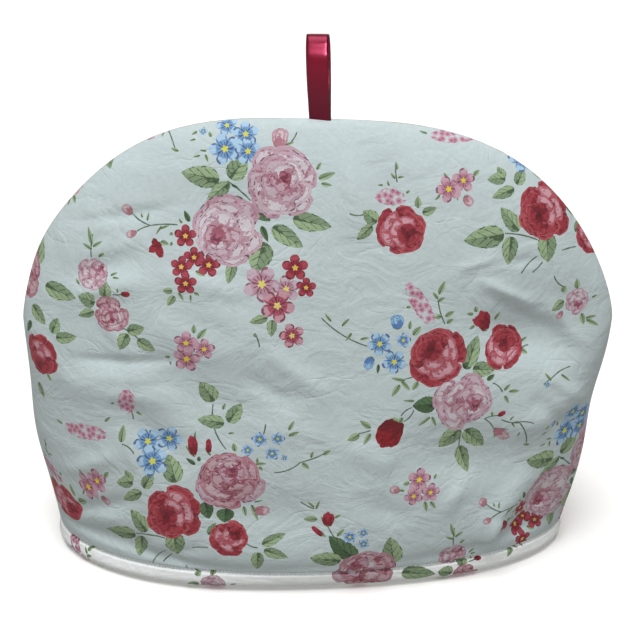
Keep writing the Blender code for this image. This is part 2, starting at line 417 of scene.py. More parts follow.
    def outside(self) -> Sheet:
        """The whole outside: level hem rows, then the square grid bent on to the arch.

        The bend is the elliptical map (u sqrt(1 - v v / 2), v sqrt(1 - u u / 2)).

        Returns:
            The outside as a sheet, rows rising from the foot, columns running to the right.
        """
        across = self.steps(self.columns, -1.0)
        hem_z = np.linspace(0.0, self.arch.dome_from, self.hem_rows + 1)[:-1, None]
        hem_points = self.foot(across, hem_z)
        up = self.steps(self.dome_rows, 0.0)[:, None]
        disc_x = across * np.sqrt(1.0 - up**2 / 2)
        disc_z = up * np.sqrt(1.0 - across**2 / 2)
        radius = np.minimum(np.hypot(disc_x, disc_z), 1.0)
        share = np.arctan2(disc_z, disc_x) / math.pi
        dome_points = self.creased(self.dome(radius, share), radius)
        s, t = self.flat(radius, share)
        hem_s = np.repeat(s[:1], self.hem_rows, axis=0)
        step = np.sqrt(sum(np.diff(np.concatenate([a, b[:1]]), axis=0) ** 2 for a, b in zip(hem_points, dome_points)))
        down = -np.cumsum(step[::-1].mean(axis=1, keepdims=True), axis=0)[::-1] / MM + 0.0 * hem_s
        x, y, z = (np.concatenate([a, b]) for a, b in zip(hem_points, dome_points))
        level = np.concatenate([down, (dome_points[2] - self.arch.dome_from) / MM])
        return Sheet(x, y, z, np.concatenate([hem_s, s]), np.concatenate([t[:1] + down, t]), level)

    def inside(self, sheet: Sheet) -> tuple[Array, Array, Array]:
        """The wall's other face: the outside moved inwards along its normal by the wall's thickness.

        Args:
            sheet: the outside.

        Returns:
            X, Y and Z.
        """
        points = np.stack([sheet.x, sheet.y, sheet.z], axis=-1)
        normal = np.cross(np.gradient(points, axis=1), np.gradient(points, axis=0))
        normal = normal / np.maximum(np.linalg.norm(normal, axis=-1, keepdims=True), 1e-12)
        thick = self.wall * np.clip(
            1.0
            - 0.17 * np.exp(-((sheet.z / 0.0025) ** 2))
            - 0.42 * np.exp(-(((sheet.z - self.hem.ditch_at) / 0.0022) ** 2)),
            0.05,
            1.0,
        )
        inner = points - normal * thick[..., None]
        inner[..., 1] = np.minimum(inner[..., 1], -0.0001)
        inner[0, :, 2] = 0.0
        inner[..., 2] = np.maximum(inner[..., 2], 0.0)
        edge = np.zeros(sheet.x.shape, bool)
        edge[:, [0, -1]] = True
        edge[-1] = True
        inner[..., 1] = np.where(edge, sheet.y, inner[..., 1])
        return inner[..., 0], inner[..., 1], inner[..., 2]


class Slot(Enum):
    """The record's material slots."""

    COTTON = "printed_cotton"
    SATIN = "red_satin"


def grid_quads(rows: int, columns: int, start: int, turned: bool) -> Array:
    """Quads of a grid of vertices numbered row by row.

    Args:
        rows: vertex rows.
        columns: vertex columns.
        start: number of the first vertex.
        turned: whether the quads face the other way.

    Returns:
        One row of four vertex numbers a quad.
    """
    index = start + np.arange(rows * columns).reshape(rows, columns)
    quads = np.stack([index[:-1, :-1], index[:-1, 1:], index[1:, 1:], index[1:, :-1]], axis=-1).reshape(-1, 4)
    return quads[:, ::-1] if turned else quads


def strip_quads(first: Array, second: Array) -> Array:
    """Quads between two rows of vertex numbers of the same length, first to second."""
    return np.stack([first[:-1], second[:-1], second[1:], first[1:]], axis=-1)


def new_mesh_object(name: str, points: Array, quads: Array) -> bpy.types.Object:
    """A smooth-shaded mesh object at the origin, in the scene's collection.

    Args:
        name: name of the object and its mesh.
        points: vertices, one row each.
        quads: faces, four vertex numbers each.

    Returns:
        The object.
    """
    mesh = bpy.data.meshes.new(name)
    mesh.vertices.add(len(points))
    mesh.vertices.foreach_set("co", np.ascontiguousarray(points, dtype=np.float32).reshape(-1))
    mesh.loops.add(quads.size)
    mesh.loops.foreach_set("vertex_index", np.ascontiguousarray(quads, dtype=np.int32).reshape(-1))
    mesh.polygons.add(len(quads))
    mesh.polygons.foreach_set("loop_start", np.arange(0, quads.size, 4, dtype=np.int32))
    mesh.polygons.foreach_set("use_smooth", np.ones(len(quads), bool))
    mesh.update(calc_edges=True)
    piece = bpy.data.objects.new(name, mesh)
    bpy.context.scene.collection.objects.link(piece)
    return piece


def sharpen(mesh: bpy.types.Mesh, groups: Array) -> None:
    """Marks the edges between faces of different groups as sharp.

    Args:
        mesh: the mesh.
        groups: one number a face.
    """
    loop_edges = np.empty(len(mesh.loops), np.int32)
    mesh.loops.foreach_get("edge_index", loop_edges)
    face_of_loop = np.repeat(np.arange(len(groups)), 4)
    low = np.full(len(mesh.edges), len(groups), np.int64)
    high = np.full(len(mesh.edges), -1, np.int64)
    np.minimum.at(low, loop_edges, groups[face_of_loop])
    np.maximum.at(high, loop_edges, groups[face_of_loop])
    mesh.edges.foreach_set("use_edge_sharp", low != high)


class Motif(Enum):
    """What a row of the chart draws, and what its five numbers mean, in mm on the flat cloth.

    A stem goes from its start to its end with a bow. A leaf or bud has a root, a tip and half a width. A flower
    has its middle, one petal's tip and a 0. Massed florets have a middle, one end of the long axis and half the
    short one. A rose has its middle, its heart and its radius.
    """

    STEM = "stem"
    LEAF = "leaf"
    DARK_LEAF = "dark_leaf"
    FLORETS = "florets"
    BLUE_FLOWER = "blue_flower"
    RED_FLOWER = "red_flower"
    PINK_FLOWER = "pink_flower"
    DAISY = "daisy"
    ROSY_FLOWER = "rosy_flower"
    PINK_BUD = "pink_bud"
    RED_BUD = "red_bud"
    DARK_BUD = "dark_bud"
    BLUE_BUD = "blue_bud"
    PINK_ROSE = "pink_rose"
    RED_ROSE = "red_rose"
    ROSY_ROSE = "rosy_rose"


CHART = (
    # upper cluster: two pink roses, blue flowers, red and pink flowers
    (Motif.STEM, -11, 259.5, -18, 251, 1),
    (Motif.STEM, -50, 232, -37, 221.5, 0.5),
    (Motif.LEAF, -54.5, 232.5, -76, 236, 6.1),
    (Motif.LEAF, -48, 233, -39.5, 246.5, 5.8),
    (Motif.LEAF, -49, 231, -61.5, 220.5, 3.9),
    (Motif.DARK_LEAF, -47.5, 230, -43.5, 228, 0.8),
    (Motif.DARK_LEAF, -46, 223.5, -35, 214, 2.6),
    (Motif.DARK_LEAF, -37, 218.5, -26, 210.5, 3.9),
    (Motif.DARK_LEAF, -31, 207.5, -27.5, 199, 1.8),
    (Motif.LEAF, -13.5, 212, 8, 208, 5.2),
    (Motif.LEAF, -25, 207, -8, 196.5, 5),
    (Motif.LEAF, -30, 199, -34.5, 182, 7.3),
    (Motif.LEAF, -46.5, 187.5, -49.5, 175.5, 3.1),
    (Motif.LEAF, 0, 239, 2.5, 243, 1.1),
    (Motif.LEAF, 1, 234, 10.5, 237.5, 1.9),
    (Motif.LEAF, 2.5, 231.5, 8.5, 230.5, 1.2),
    (Motif.DARK_LEAF, -71, 209, -74, 215, 1.5),
    (Motif.LEAF, -75, 208, -77, 210.5, 0.8),
    (Motif.LEAF, -68, 259, -71, 257, 1),
    (Motif.LEAF, -68.5, 254.5, -72, 253.5, 0.6),
    (Motif.LEAF, -59.5, 256, -61, 259, 1.2),
    (Motif.LEAF, -62, 248, -66, 248.5, 0.7),
    (Motif.LEAF, -62.5, 246, -61, 242, 0.9),
    (Motif.LEAF, -65.5, 245.5, -69.5, 244.5, 0.7),
    (Motif.LEAF, -78, 247.5, -82.5, 249, 1),
    (Motif.BLUE_FLOWER, -51, 263, -57.5, 263, 0),
    (Motif.BLUE_FLOWER, -64.5, 259, -62, 259.5, 0),
    (Motif.BLUE_FLOWER, -40, 258, -33, 261, 0),
    (Motif.BLUE_FLOWER, -51.5, 249.5, -60.5, 249, 0),
    (Motif.BLUE_FLOWER, -38.5, 248.5, -31.5, 251.5, 0),
    (Motif.PINK_BUD, -21, 251, -20, 262, 5),
    (Motif.LEAF, -21, 251.5, -23, 248.5, 1.1),
    (Motif.LEAF, -18, 252, -12.5, 254, 0.9),
    (Motif.PINK_ROSE, -19.5, 231.5, -18, 234.5, 20.4),
    (Motif.PINK_ROSE, -49.5, 205.5, -56, 200.5, 19),
    (Motif.RED_FLOWER, -73, 201, -67, 203, 0),
    (Motif.RED_FLOWER, -75, 184, -80.5, 186.5, 0),
    (Motif.RED_FLOWER, -68, 189.5, -62.5, 191.5, 0),
    (Motif.RED_FLOWER, -60, 185.5, -53.5, 186.5, 0),
    (Motif.RED_FLOWER, -72.5, 175, -66.5, 177, 0),
    (Motif.PINK_FLOWER, -31, 175.5, -40.5, 171, 0),
    (Motif.PINK_FLOWER, -17.5, 173, -12, 167.5, 0),
    (Motif.ROSY_FLOWER, -22.5, 163.5, -13, 162, 0),
    (Motif.RED_FLOWER, -12.5, 185, -5.5, 187.5, 0),
    (Motif.RED_FLOWER, -6.5, 174, -1, 175.5, 0),
    (Motif.LEAF, -28, 157, -38, 154, 2.6),
    (Motif.LEAF, -25.5, 155.5, -26, 146, 2.9),
    (Motif.STEM, -35, 148, -32.5, 140, 0.4),
    (Motif.LEAF, -34.5, 146, -36, 147.5, 0.6),
    (Motif.ROSY_FLOWER, -14.5, 146.5, -8.5, 150.5, 0),
    (Motif.LEAF, -15, 149, -17, 152, 1),
    (Motif.LEAF, -76.5, 169.5, -74, 165, 1),
    (Motif.LEAF, -68, 170, -65, 168.5, 1),
    (Motif.LEAF, -70, 168.5, -70, 164.5, 0.7),
    (Motif.LEAF, -67, 182, -62, 179.5, 1.4),
    (Motif.STEM, -103.5, 212, -92.5, 206, -0.8),
    (Motif.STEM, -92.5, 206, -77.5, 207, 0.5),
    (Motif.STEM, -92.5, 206, -100, 202.5, -0.4),
    (Motif.PINK_BUD, -104, 212, -109, 216, 3),
    (Motif.PINK_BUD, -100.5, 202, -106, 199.5, 2.2),
    (Motif.LEAF, -94.5, 208.5, -94, 213, 0.8),
    (Motif.LEAF, -97.5, 210, -98.5, 212.5, 0.6),
    (Motif.LEAF, -86.5, 206, -89.5, 201, 0.7),
    (Motif.LEAF, -87, 204.5, -82, 206.5, 0.8),
    (Motif.LEAF, -81.5, 202.5, -80, 201, 1.2),
    (Motif.LEAF, -80.5, 197.5, -81, 195, 1),
    (Motif.RED_BUD, -90.5, 198.5, -85.5, 188.5, 2.5),
    (Motif.RED_BUD, -86.5, 196.5, -93, 191.5, 2.3),
    (Motif.LEAF, -86.5, 197.5, -82, 196, 1.5),
    (Motif.LEAF, -80, 170.5, -85.5, 170, 2),
    (Motif.LEAF, -79, 167.5, -83, 161.5, 2.2),
    # red rose with pale florets
    (Motif.STEM, 18, 215.5, 25.5, 215, -0.7),
    (Motif.STEM, 44.5, 243.5, 45, 232.5, -0.5),
    (Motif.LEAF, 45, 239.5, 44.5, 243.5, 1.1),
    (Motif.LEAF, 44, 234.5, 41.5, 237.5, 0.9),
    (Motif.LEAF, 45.5, 235, 49, 235.5, 0.7),
    (Motif.LEAF, 37, 231, 34, 231, 0.7),
    (Motif.LEAF, 40.5, 230.5, 39.5, 233.5, 0.7),
    (Motif.LEAF, 50, 226.5, 52, 228, 0.9),
    (Motif.FLORETS, 41, 224.5, 49.5, 223.5, 4.7),
    (Motif.LEAF, 33.5, 211, 25.5, 217, 4.1),
    (Motif.LEAF, 30.5, 209, 22, 201, 3),
    (Motif.LEAF, 56.5, 218.5, 56.5, 225, 2),
    (Motif.LEAF, 59, 215.5, 67, 218.5, 2.5),
    (Motif.RED_ROSE, 46, 207, 51, 204, 14.2),
    # pair of daisies with a bud
    (Motif.LEAF, 73, 234.5, 71.5, 237.5, 1),
    (Motif.LEAF, 88.5, 235.5, 92, 238.5, 1.4),
    (Motif.LEAF, 69, 225.5, 66, 222.5, 0.8),
    (Motif.LEAF, 78.5, 225.5, 79, 222, 0.8),
    (Motif.DAISY, 74, 228.5, 66.5, 228, 0),
    (Motif.DAISY, 82.5, 233, 89, 235, 0),
    (Motif.PINK_BUD, 83, 224, 87.5, 219.5, 3),
    # lower left cluster: red and rose pink roses, blue flowers
    (Motif.LEAF, -57.5, 105.5, -66, 116.5, 5.3),
    (Motif.STEM, -58.5, 103.5, -50.5, 77, -3.1),
    (Motif.LEAF, -52, 92.5, -67, 94, 4.1),
    (Motif.LEAF, -49.5, 93, -42.5, 105, 4.2),
    (Motif.LEAF, -53, 100.5, -51.5, 104.5, 1),
    (Motif.LEAF, -49.5, 86.5, -46, 87, 0.6),
    (Motif.LEAF, -111, 77.5, -109.5, 87.5, 2.1),
    (Motif.STEM, -110.5, 76.5, -103.5, 71.5, 1),
    (Motif.DARK_LEAF, -67.5, 67, -73, 70, 1.3),
    (Motif.DARK_LEAF, -65.5, 69, -65.5, 72, 1.2),
    (Motif.LEAF, -78.5, 55.5, -83.5, 71.5, 6),
    (Motif.LEAF, -98, 51.5, -92.5, 61.5, 3.7),
    (Motif.LEAF, -105.5, 55.5, -109.5, 62, 2.7),
    (Motif.LEAF, -105, 55.5, -116, 55, 3.4),
    (Motif.LEAF, -100, 49.5, -113.5, 45, 3.4),
    (Motif.BLUE_FLOWER, -95.5, 78.5, -103.5, 76, 0),
    (Motif.BLUE_FLOWER, -83, 81, -75, 81, 0),
    (Motif.BLUE_FLOWER, -92.5, 67.5, -85, 73, 0),
    (Motif.RED_BUD, -68.5, 72.5, -70, 84.5, 3),
    (Motif.LEAF, -68, 71.5, -73.5, 78, 1.2),
    (Motif.DARK_LEAF, -68.5, 74, -68, 87.5, 0.8),
    (Motif.RED_BUD, -60, 74.5, -60.5, 83, 1.8),
    (Motif.LEAF, -59, 73, -62.5, 77.5, 0.8),
    (Motif.LEAF, -97.5, 26, -108.5, 39.5, 4.4),
    (Motif.LEAF, -106.5, 24.5, -130, 22, 6.4),
    (Motif.LEAF, -102.5, 23, -103.5, 7, 4.9),
    (Motif.LEAF, -80.5, 23, -79, 6.5, 6.2),
    (Motif.STEM, -106, 25, -86, 20, 0.9),
    (Motif.STEM, -86, 10.5, -95.5, 1.5, -0.8),
    (Motif.STEM, -82.5, 7, -88.5, 1.5, 0.3),
    (Motif.STEM, -70, 12.5, -60, 13.5, 0.3),
    (Motif.DARK_LEAF, -62, 43.5, -59.5, 32.5, 4.2),
    (Motif.DARK_LEAF, -50, 39, -50.5, 30, 5.2),
    (Motif.LEAF, -59.5, 22, -55.5, 30, 2.6),
    (Motif.LEAF, -28.5, 16.5, -15.5, 23.5, 3.2),
    (Motif.LEAF, -27.5, 13, -13.5, 8, 3.4),
    (Motif.LEAF, -31, 11.5, -31.5, -1.5, 3.8),
    (Motif.STEM, -37.5, 17, -31, 14.5, -0.5),
    (Motif.LEAF, -45.5, 76, -46.5, 81, 1.6),
    (Motif.LEAF, -34, 68.5, -28, 69, 1.2),
    (Motif.LEAF, -33, 69.5, -33, 72.5, 1),
    (Motif.LEAF, -32, 67, -30, 64.5, 1),
    (Motif.STEM, -29, 93.5, -30, 87.5, 0.2),
    (Motif.BLUE_FLOWER, -32, 84, -28, 86.5, 0),
    (Motif.BLUE_FLOWER, -22, 85, -18, 85.5, 0),
    (Motif.BLUE_FLOWER, -25, 75.5, -22.5, 72, 0),
    (Motif.BLUE_FLOWER, -38.5, 77, -42, 76, 0),
    (Motif.BLUE_FLOWER, -18, 73, -16, 72.5, 0),
    (Motif.LEAF, -40, 40.5, -38.5, 34, 1.3),
    (Motif.LEAF, -35.5, 41.5, -31.5, 31, 1.4),
    (Motif.LEAF, -34, 43.5, -29, 44.5, 0.6),
    (Motif.PINK_BUD, -33.5, 37.5, -25, 38, 3.4),
    (Motif.ROSY_ROSE, -48.5, 57, -46.5, 64, 18.6),
    (Motif.RED_ROSE, -80.5, 36.5, -85, 33.5, 17.3),
    (Motif.RED_ROSE, -48, 19.5, -43, 23.5, 11.5),
    (Motif.STEM, -23.5, 63.5, -9, 70.5, -1.7),
    (Motif.LEAF, -16, 90.5, -13, 96, 1.2),
    (Motif.LEAF, -16, 87, -10, 89.5, 1.3),
    # right cluster: two red roses, a pink one, blue flowers and a dark bud
    (Motif.FLORETS, 57.5, 165.5, 50, 177.5, 4.9),
    (Motif.STEM, 72.5, 153, 68, 167.5, 0.7),
    (Motif.LEAF, 68.5, 170.5, 72, 178, 1.6),
    (Motif.LEAF, 68, 168, 65, 172, 1.1),
    (Motif.LEAF, 68, 166.5, 72, 168.5, 1.2),
    (Motif.LEAF, 70.5, 158, 66, 157.5, 1.4),
    (Motif.LEAF, 72.5, 157.5, 78, 160, 1.6),
    (Motif.LEAF, 73.5, 153.5, 77.5, 155.5, 1.4),
    (Motif.LEAF, 50, 163.5, 53, 163.5, 0.9),
    (Motif.LEAF, 52, 151, 52.5, 156, 1.2),
    (Motif.LEAF, 54, 147.5, 58.5, 152.5, 1.8),
    (Motif.BLUE_BUD, 45.5, 151.5, 44, 159.5, 4),
    (Motif.BLUE_FLOWER, 35, 142.5, 28, 141, 0),
    (Motif.BLUE_FLOWER, 48.5, 144.5, 44.5, 146.5, 0),
    (Motif.BLUE_FLOWER, 43.5, 132, 36.5, 130, 0),
    (Motif.BLUE_BUD, 30.5, 134.5, 27.5, 127.5, 3.1),
    (Motif.DARK_LEAF, 34.5, 130.5, 34, 125, 1),
    (Motif.DARK_LEAF, 85, 126, 89.5, 133, 3.2),
    (Motif.LEAF, 86.5, 127, 93, 144.5, 4.9),
    (Motif.LEAF, 90, 125.5, 103.5, 123.5, 4.7),
    (Motif.DARK_LEAF, 99, 118, 103.5, 121, 1.6),
    (Motif.LEAF, 103.5, 152.5, 106.5, 157, 1.2),
    (Motif.LEAF, 89.5, 157.5, 85.5, 158, 1.2),
    (Motif.LEAF, 91.5, 158.5, 90.5, 162, 1.4),
    (Motif.LEAF, 90.5, 150.5, 87.5, 148.5, 1.1),
    (Motif.RED_BUD, 98, 147, 94.5, 159, 4.5),
    (Motif.RED_BUD, 99.5, 149.5, 89.5, 154.5, 3.1),
    (Motif.STEM, 120, 133, 126, 134.5, 0.3),
    (Motif.LEAF, 121, 137, 125.5, 139, 1.1),
    (Motif.LEAF, 120, 133, 125, 130, 1.5),
    (Motif.DARK_LEAF, 69, 106, 55, 105.5, 5.3),
    (Motif.STEM, 55, 104.5, 48.5, 99.5, -0.9),
    (Motif.STEM, 56, 103, 50.5, 96, 0.9),
    (Motif.LEAF, 66, 98, 59, 92.5, 1.2),
    (Motif.LEAF, 67, 98, 70, 91.5, 1.2),
    (Motif.LEAF, 85, 88.5, 73, 77, 5.7),
    (Motif.LEAF, 88, 87, 102.5, 74, 5.2),
    (Motif.LEAF, 86, 76, 93.5, 58, 4.4),
    (Motif.STEM, 85.5, 87, 86, 76, 0),
    (Motif.PINK_ROSE, 85, 106, 93, 103, 17.3),
    (Motif.RED_ROSE, 68.5, 133.5, 64.5, 139, 17),
    (Motif.RED_ROSE, 109, 135.5, 110.5, 138.5, 12.3),
    (Motif.STEM, 31, 91, 20.5, 88.5, 0.3),
    (Motif.LEAF, 31, 92.5, 24.5, 97, 1.8),
    (Motif.LEAF, 31, 89, 27, 82.5, 1.6),
    (Motif.LEAF, 24.5, 88.5, 17.5, 85, 2.3),
    (Motif.DARK_BUD, 46.5, 96.5, 38, 81, 8.3),
    (Motif.LEAF, 48.5, 95, 42.5, 98.5, 1.6),
    (Motif.LEAF, 49.5, 98.5, 45.5, 92.5, 1.7),
    (Motif.STEM, 56.5, 124, 48, 121.5, 0.4),
    (Motif.LEAF, 50, 121, 42, 122.5, 1.2),
    (Motif.LEAF, 48, 120.5, 53, 115, 1.4),
    (Motif.LEAF, 47, 118.5, 42.5, 111.5, 1.7),
    (Motif.LEAF, 57.5, 120, 54.5, 115, 1.7),
    (Motif.LEAF, 56, 108.5, 49, 109, 0.8),
    (Motif.STEM, 102.5, 116, 109, 109.5, 0.9),
    (Motif.LEAF, 110, 110.5, 113.5, 114, 1.2),
    (Motif.LEAF, 113, 109.5, 119.5, 109, 1.2),
    (Motif.LEAF, 110.5, 107, 113.5, 102, 1.2),
    (Motif.STEM, 99.5, 93.5, 108, 94.5, 0.6),
    (Motif.LEAF, 104.5, 94.5, 103.5, 98, 1),
    (Motif.RED_BUD, 108, 94.5, 112.5, 96.5, 1.8),
    (Motif.STEM, 99.5, 93.5, 106.5, 86, 0.6),
    (Motif.PINK_BUD, 107.5, 85, 118.5, 76.5, 3.2),
    (Motif.LEAF, 106.5, 86, 117, 83.5, 0.6),
    (Motif.LEAF, 107.5, 84, 109, 78.5, 1),
    (Motif.STEM, 110.5, 91.5, 122.5, 88, -0.9),
    (Motif.STEM, 122.5, 88, 133, 69, 1),
    (Motif.STEM, 118.5, 88.5, 131.5, 86.5, 1),
    (Motif.LEAF, 116, 90.5, 118.5, 93, 0.8),
    (Motif.LEAF, 117.5, 88.5, 120, 85, 0.7),
    (Motif.LEAF, 124, 81, 123.5, 77.5, 0.6),
    (Motif.STEM, 2, 157, 30, 140.5, -2.3),
    (Motif.LEAF, 7.5, 155, 4, 159.5, 0.9),
    (Motif.LEAF, 13.5, 152.5, 18, 157, 1),
    (Motif.LEAF, 19, 148.5, 15.5, 144, 1),
    (Motif.LEAF, 24, 145, 29, 146, 0.9),
    # two small roses
    (Motif.STEM, -126.5, 186, -126, 199, 0.3),
    (Motif.LEAF, -126, 193, -129, 203, 1.4),
    (Motif.LEAF, -126, 190.5, -132, 193.5, 1.1),
    (Motif.LEAF, -125.5, 192, -120, 195.5, 1.1),
    (Motif.LEAF, -122, 186.5, -118.5, 189, 1.1),
    (Motif.LEAF, -115, 176.5, -111, 178.5, 0.8),
    (Motif.LEAF, -113.5, 175.5, -109.5, 175.5, 0.7),
    (Motif.LEAF, -134, 169.5, -136.5, 172.5, 0.9),
    (Motif.LEAF, -118, 163.5, -117.5, 173, 3.8),
    (Motif.LEAF, -124.5, 160, -134.5, 162.5, 4.8),
    (Motif.LEAF, -125.5, 154.5, -135.5, 150.5, 2.8),
    (Motif.STEM, -113.5, 166, -108.5, 166.5, -0.3),
    (Motif.LEAF, -110.5, 167.5, -110.5, 170, 0.7),
    (Motif.RED_BUD, -108.5, 166.5, -103.5, 167, 1.8),
    (Motif.STEM, -110, 147, -99.5, 140.5, 0.7),
    (Motif.LEAF, -106, 144.5, -96, 148, 3.6),
    (Motif.LEAF, -106.5, 143.5, -110.5, 133.5, 3.6),
    (Motif.LEAF, -100.5, 140, -90.5, 134.5, 3.5),
    (Motif.PINK_ROSE, -126.5, 176, -120.5, 180, 8.8),
    (Motif.ROSY_ROSE, -115.5, 154, -114.5, 150.5, 9.9),
    # three daisies
    (Motif.LEAF, -68.5, 146.5, -68.5, 151.5, 1.4),
    (Motif.LEAF, -66.5, 143.5, -61.5, 149.5, 1.6),
    (Motif.LEAF, -82.5, 131, -85.5, 131, 1.2),
    (Motif.LEAF, -82.5, 128, -82, 126, 0.7),
    (Motif.DAISY, -73, 140.5, -79.5, 143, 0),
    (Motif.DAISY, -63, 137.5, -57, 139, 0),
    (Motif.DAISY, -73, 130.5, -80, 134, 0),
    # pale florets on the left
    (Motif.STEM, -105.5, 97.5, -104, 91, 0.3),
    (Motif.LEAF, -114.5, 101, -116.5, 100.5, 0.8),
    (Motif.LEAF, -102, 96, -99, 94, 1),
    (Motif.FLORETS, -107, 102.5, -106, 110.5, 5.1),
    (Motif.LEAF, -149.5, 81.5, -154, 83, 0.9),
    (Motif.LEAF, -120.5, 88.5, -117, 92, 0.9),
    (Motif.FLORETS, -133.5, 80.5, -119, 81, 4.5),
    # cluster on the hem
    (Motif.STEM, -9, 70.5, 8, 78.5, -0.8),
    (Motif.LEAF, -3, 73.5, -2, 77.5, 1),
    (Motif.LEAF, 4, 75.5, 8, 78.5, 1.4),
    (Motif.LEAF, -8, 70, -4, 66.5, 1.5),
    (Motif.LEAF, 1, 40, 3, 46, 0.9),
    (Motif.LEAF, 0, 41, -4, 45, 0.9),
    (Motif.STEM, -8, 44.5, 0, 40, -0.4),
    (Motif.LEAF, 2, 33.5, -6, 33, 2),
    (Motif.LEAF, 12.5, 35, 16, 37.5, 0.9),
    (Motif.LEAF, 14.5, 23, 18.5, 28, 1.4),
    (Motif.STEM, 8.5, 29.5, 13.5, 21.5, -0.4),
    (Motif.RED_BUD, 8.5, 29.5, 8.5, 38.5, 3.8),
    (Motif.LEAF, 8.5, 29, 4, 35.5, 1.3),
    (Motif.LEAF, 8.5, 29, 12.5, 36, 1.3),
    (Motif.RED_BUD, 5.5, 23, -1, 28.5, 1.7),
    (Motif.LEAF, 4, 26, 7.5, 22, 1.1),
    (Motif.DARK_LEAF, 26.5, 6, 9.5, 23, 6.1),
    (Motif.LEAF, 17.5, 5.5, -1, 8, 5.6),
    (Motif.BLUE_FLOWER, 22, 22.5, 18, 24.5, 0),
    (Motif.BLUE_FLOWER, 30, 25, 33, 26.5, 0),
    (Motif.BLUE_FLOWER, 30.5, 17, 34, 16, 0),
    (Motif.LEAF, 49, -0.5, 46, 20.5, 6.3),
    (Motif.LEAF, 55, -13, 76.5, -17, 5.4),
    (Motif.ROSY_ROSE, 32, -6.5, 26, 0.5, 17.6),
    (Motif.LEAF, -168.5, 151.5, -158, 141.5, 4.3),
    (Motif.DARK_LEAF, -170, 141.5, -174, 134, 2.2),
    (Motif.LEAF, -153, 137, -149, 147, 3.8),
    (Motif.LEAF, -150.5, 134.5, -137, 137.5, 3.6),
    (Motif.LEAF, -158.5, 110.5, -155.5, 106.5, 1.2),
    (Motif.LEAF, -168, 102.5, -163, 93.5, 2.5),
    (Motif.RED_ROSE, -162, 122.5, -165, 114, 12.6),
    # three daisies with a bud
    (Motif.LEAF, 56, 56.5, 52, 56, 1.6),
    (Motif.LEAF, 53, 51.5, 49, 53, 1),
    (Motif.LEAF, 66, 43, 67.5, 36, 1.4),
    (Motif.LEAF, 69.5, 42.5, 73, 37.5, 1.4),
    (Motif.LEAF, 71.5, 57, 73, 60, 1),
    (Motif.DAISY, 62, 57.5, 55.5, 61, 0),
    (Motif.DAISY, 59, 47.5, 53, 46.5, 0),
    (Motif.DAISY, 69.5, 48.5, 75.5, 49.5, 0),
    (Motif.PINK_BUD, 50, 52, 44, 53.5, 2.7),
    # small rose on the right
    (Motif.STEM, 138, 176, 145.5, 168.5, -1.1),
    (Motif.LEAF, 154.5, 166.5, 153.5, 172.5, 2),
    (Motif.LEAF, 146, 160, 138, 155, 2.9),
    (Motif.LEAF, 144.5, 165.5, 146.5, 169, 2.1),
    (Motif.LEAF, 159, 150.5, 161, 143, 1.8),
    (Motif.LEAF, 162, 147, 169.5, 147.5, 1.2),
    (Motif.LEAF, 162.5, 146, 171.5, 141, 1.4),
    (Motif.LEAF, 165.5, 159.5, 169.5, 160.5, 0.8),
    (Motif.PINK_BUD, 145, 153.5, 142, 149.5, 2.2),
    (Motif.PINK_ROSE, 155, 158.5, 156.5, 155.5, 7.9),
    # blue sprig on the right
    (Motif.STEM, 135, 110.5, 153, 118, 1.7),
    (Motif.LEAF, 139.5, 112.5, 135.5, 117.5, 0.9),
    (Motif.LEAF, 146.5, 114.5, 153, 109, 0.9),
    (Motif.BLUE_FLOWER, 137.5, 110, 139, 111.5, 0),
)


class Family(IntEnum):
    """Kinds of printed shape, in the order they are printed one over another."""

    STEM = 0
    LEAF = 1
    FLORETS = 2
    FLOWER = 3
    PETAL = 4


@dataclass(frozen=True)
class Shape:
    """One printed shape: a frame on the flat cloth in mm, the box it fills there, and its ink.

    In the frame, u runs along the axis, one unit its whole length, and v to its left, one unit `wide` mm.
    """

    family: Family
    s: float
    t: float
    axis_s: float
    axis_t: float
    wide: float
    low: float
    high: float
    half: float
    ink: int
    phase: float

    def local(self, s: Array, t: Array) -> tuple[Array, Array]:
        """U and v of places on the cloth."""
        length = math.hypot(self.axis_s, self.axis_t)
        ds, dt = s - self.s, t - self.t
        u = (ds * self.axis_s + dt * self.axis_t) / length**2
        v = (dt * self.axis_s - ds * self.axis_t) / (length * self.wide)
        return u, v


class LeafInk(IntEnum):
    """Inks of leaves and stems."""

    SAGE = 0
    DARK = 1
    TWIG = 2


class FlowerInk(IntEnum):
    """Inks of small five-petalled flowers and of the massed florets."""

    BLUE = 0
    RED = 1
    PINK = 2
    DAISY = 3
    ROSY = 4
    PALE = 5


class PetalInk(IntEnum):
    """Inks of rose petals, from the outer ring to the heart, and of buds."""

    PINK_OUTER = 0
    PINK_MIDDLE = 1
    PINK_INNER = 2
    PINK_HEART = 3
    RED_OUTER = 4
    RED_MIDDLE = 5
    RED_INNER = 6
    RED_HEART = 7
    RED_LIGHT = 8
    ROSY_OUTER = 9
    ROSY_MIDDLE = 10
    BUD_PINK = 11
    BUD_RED = 12
    BUD_DARK = 13
    BUD_BLUE = 14
    PINK_PALE = 15


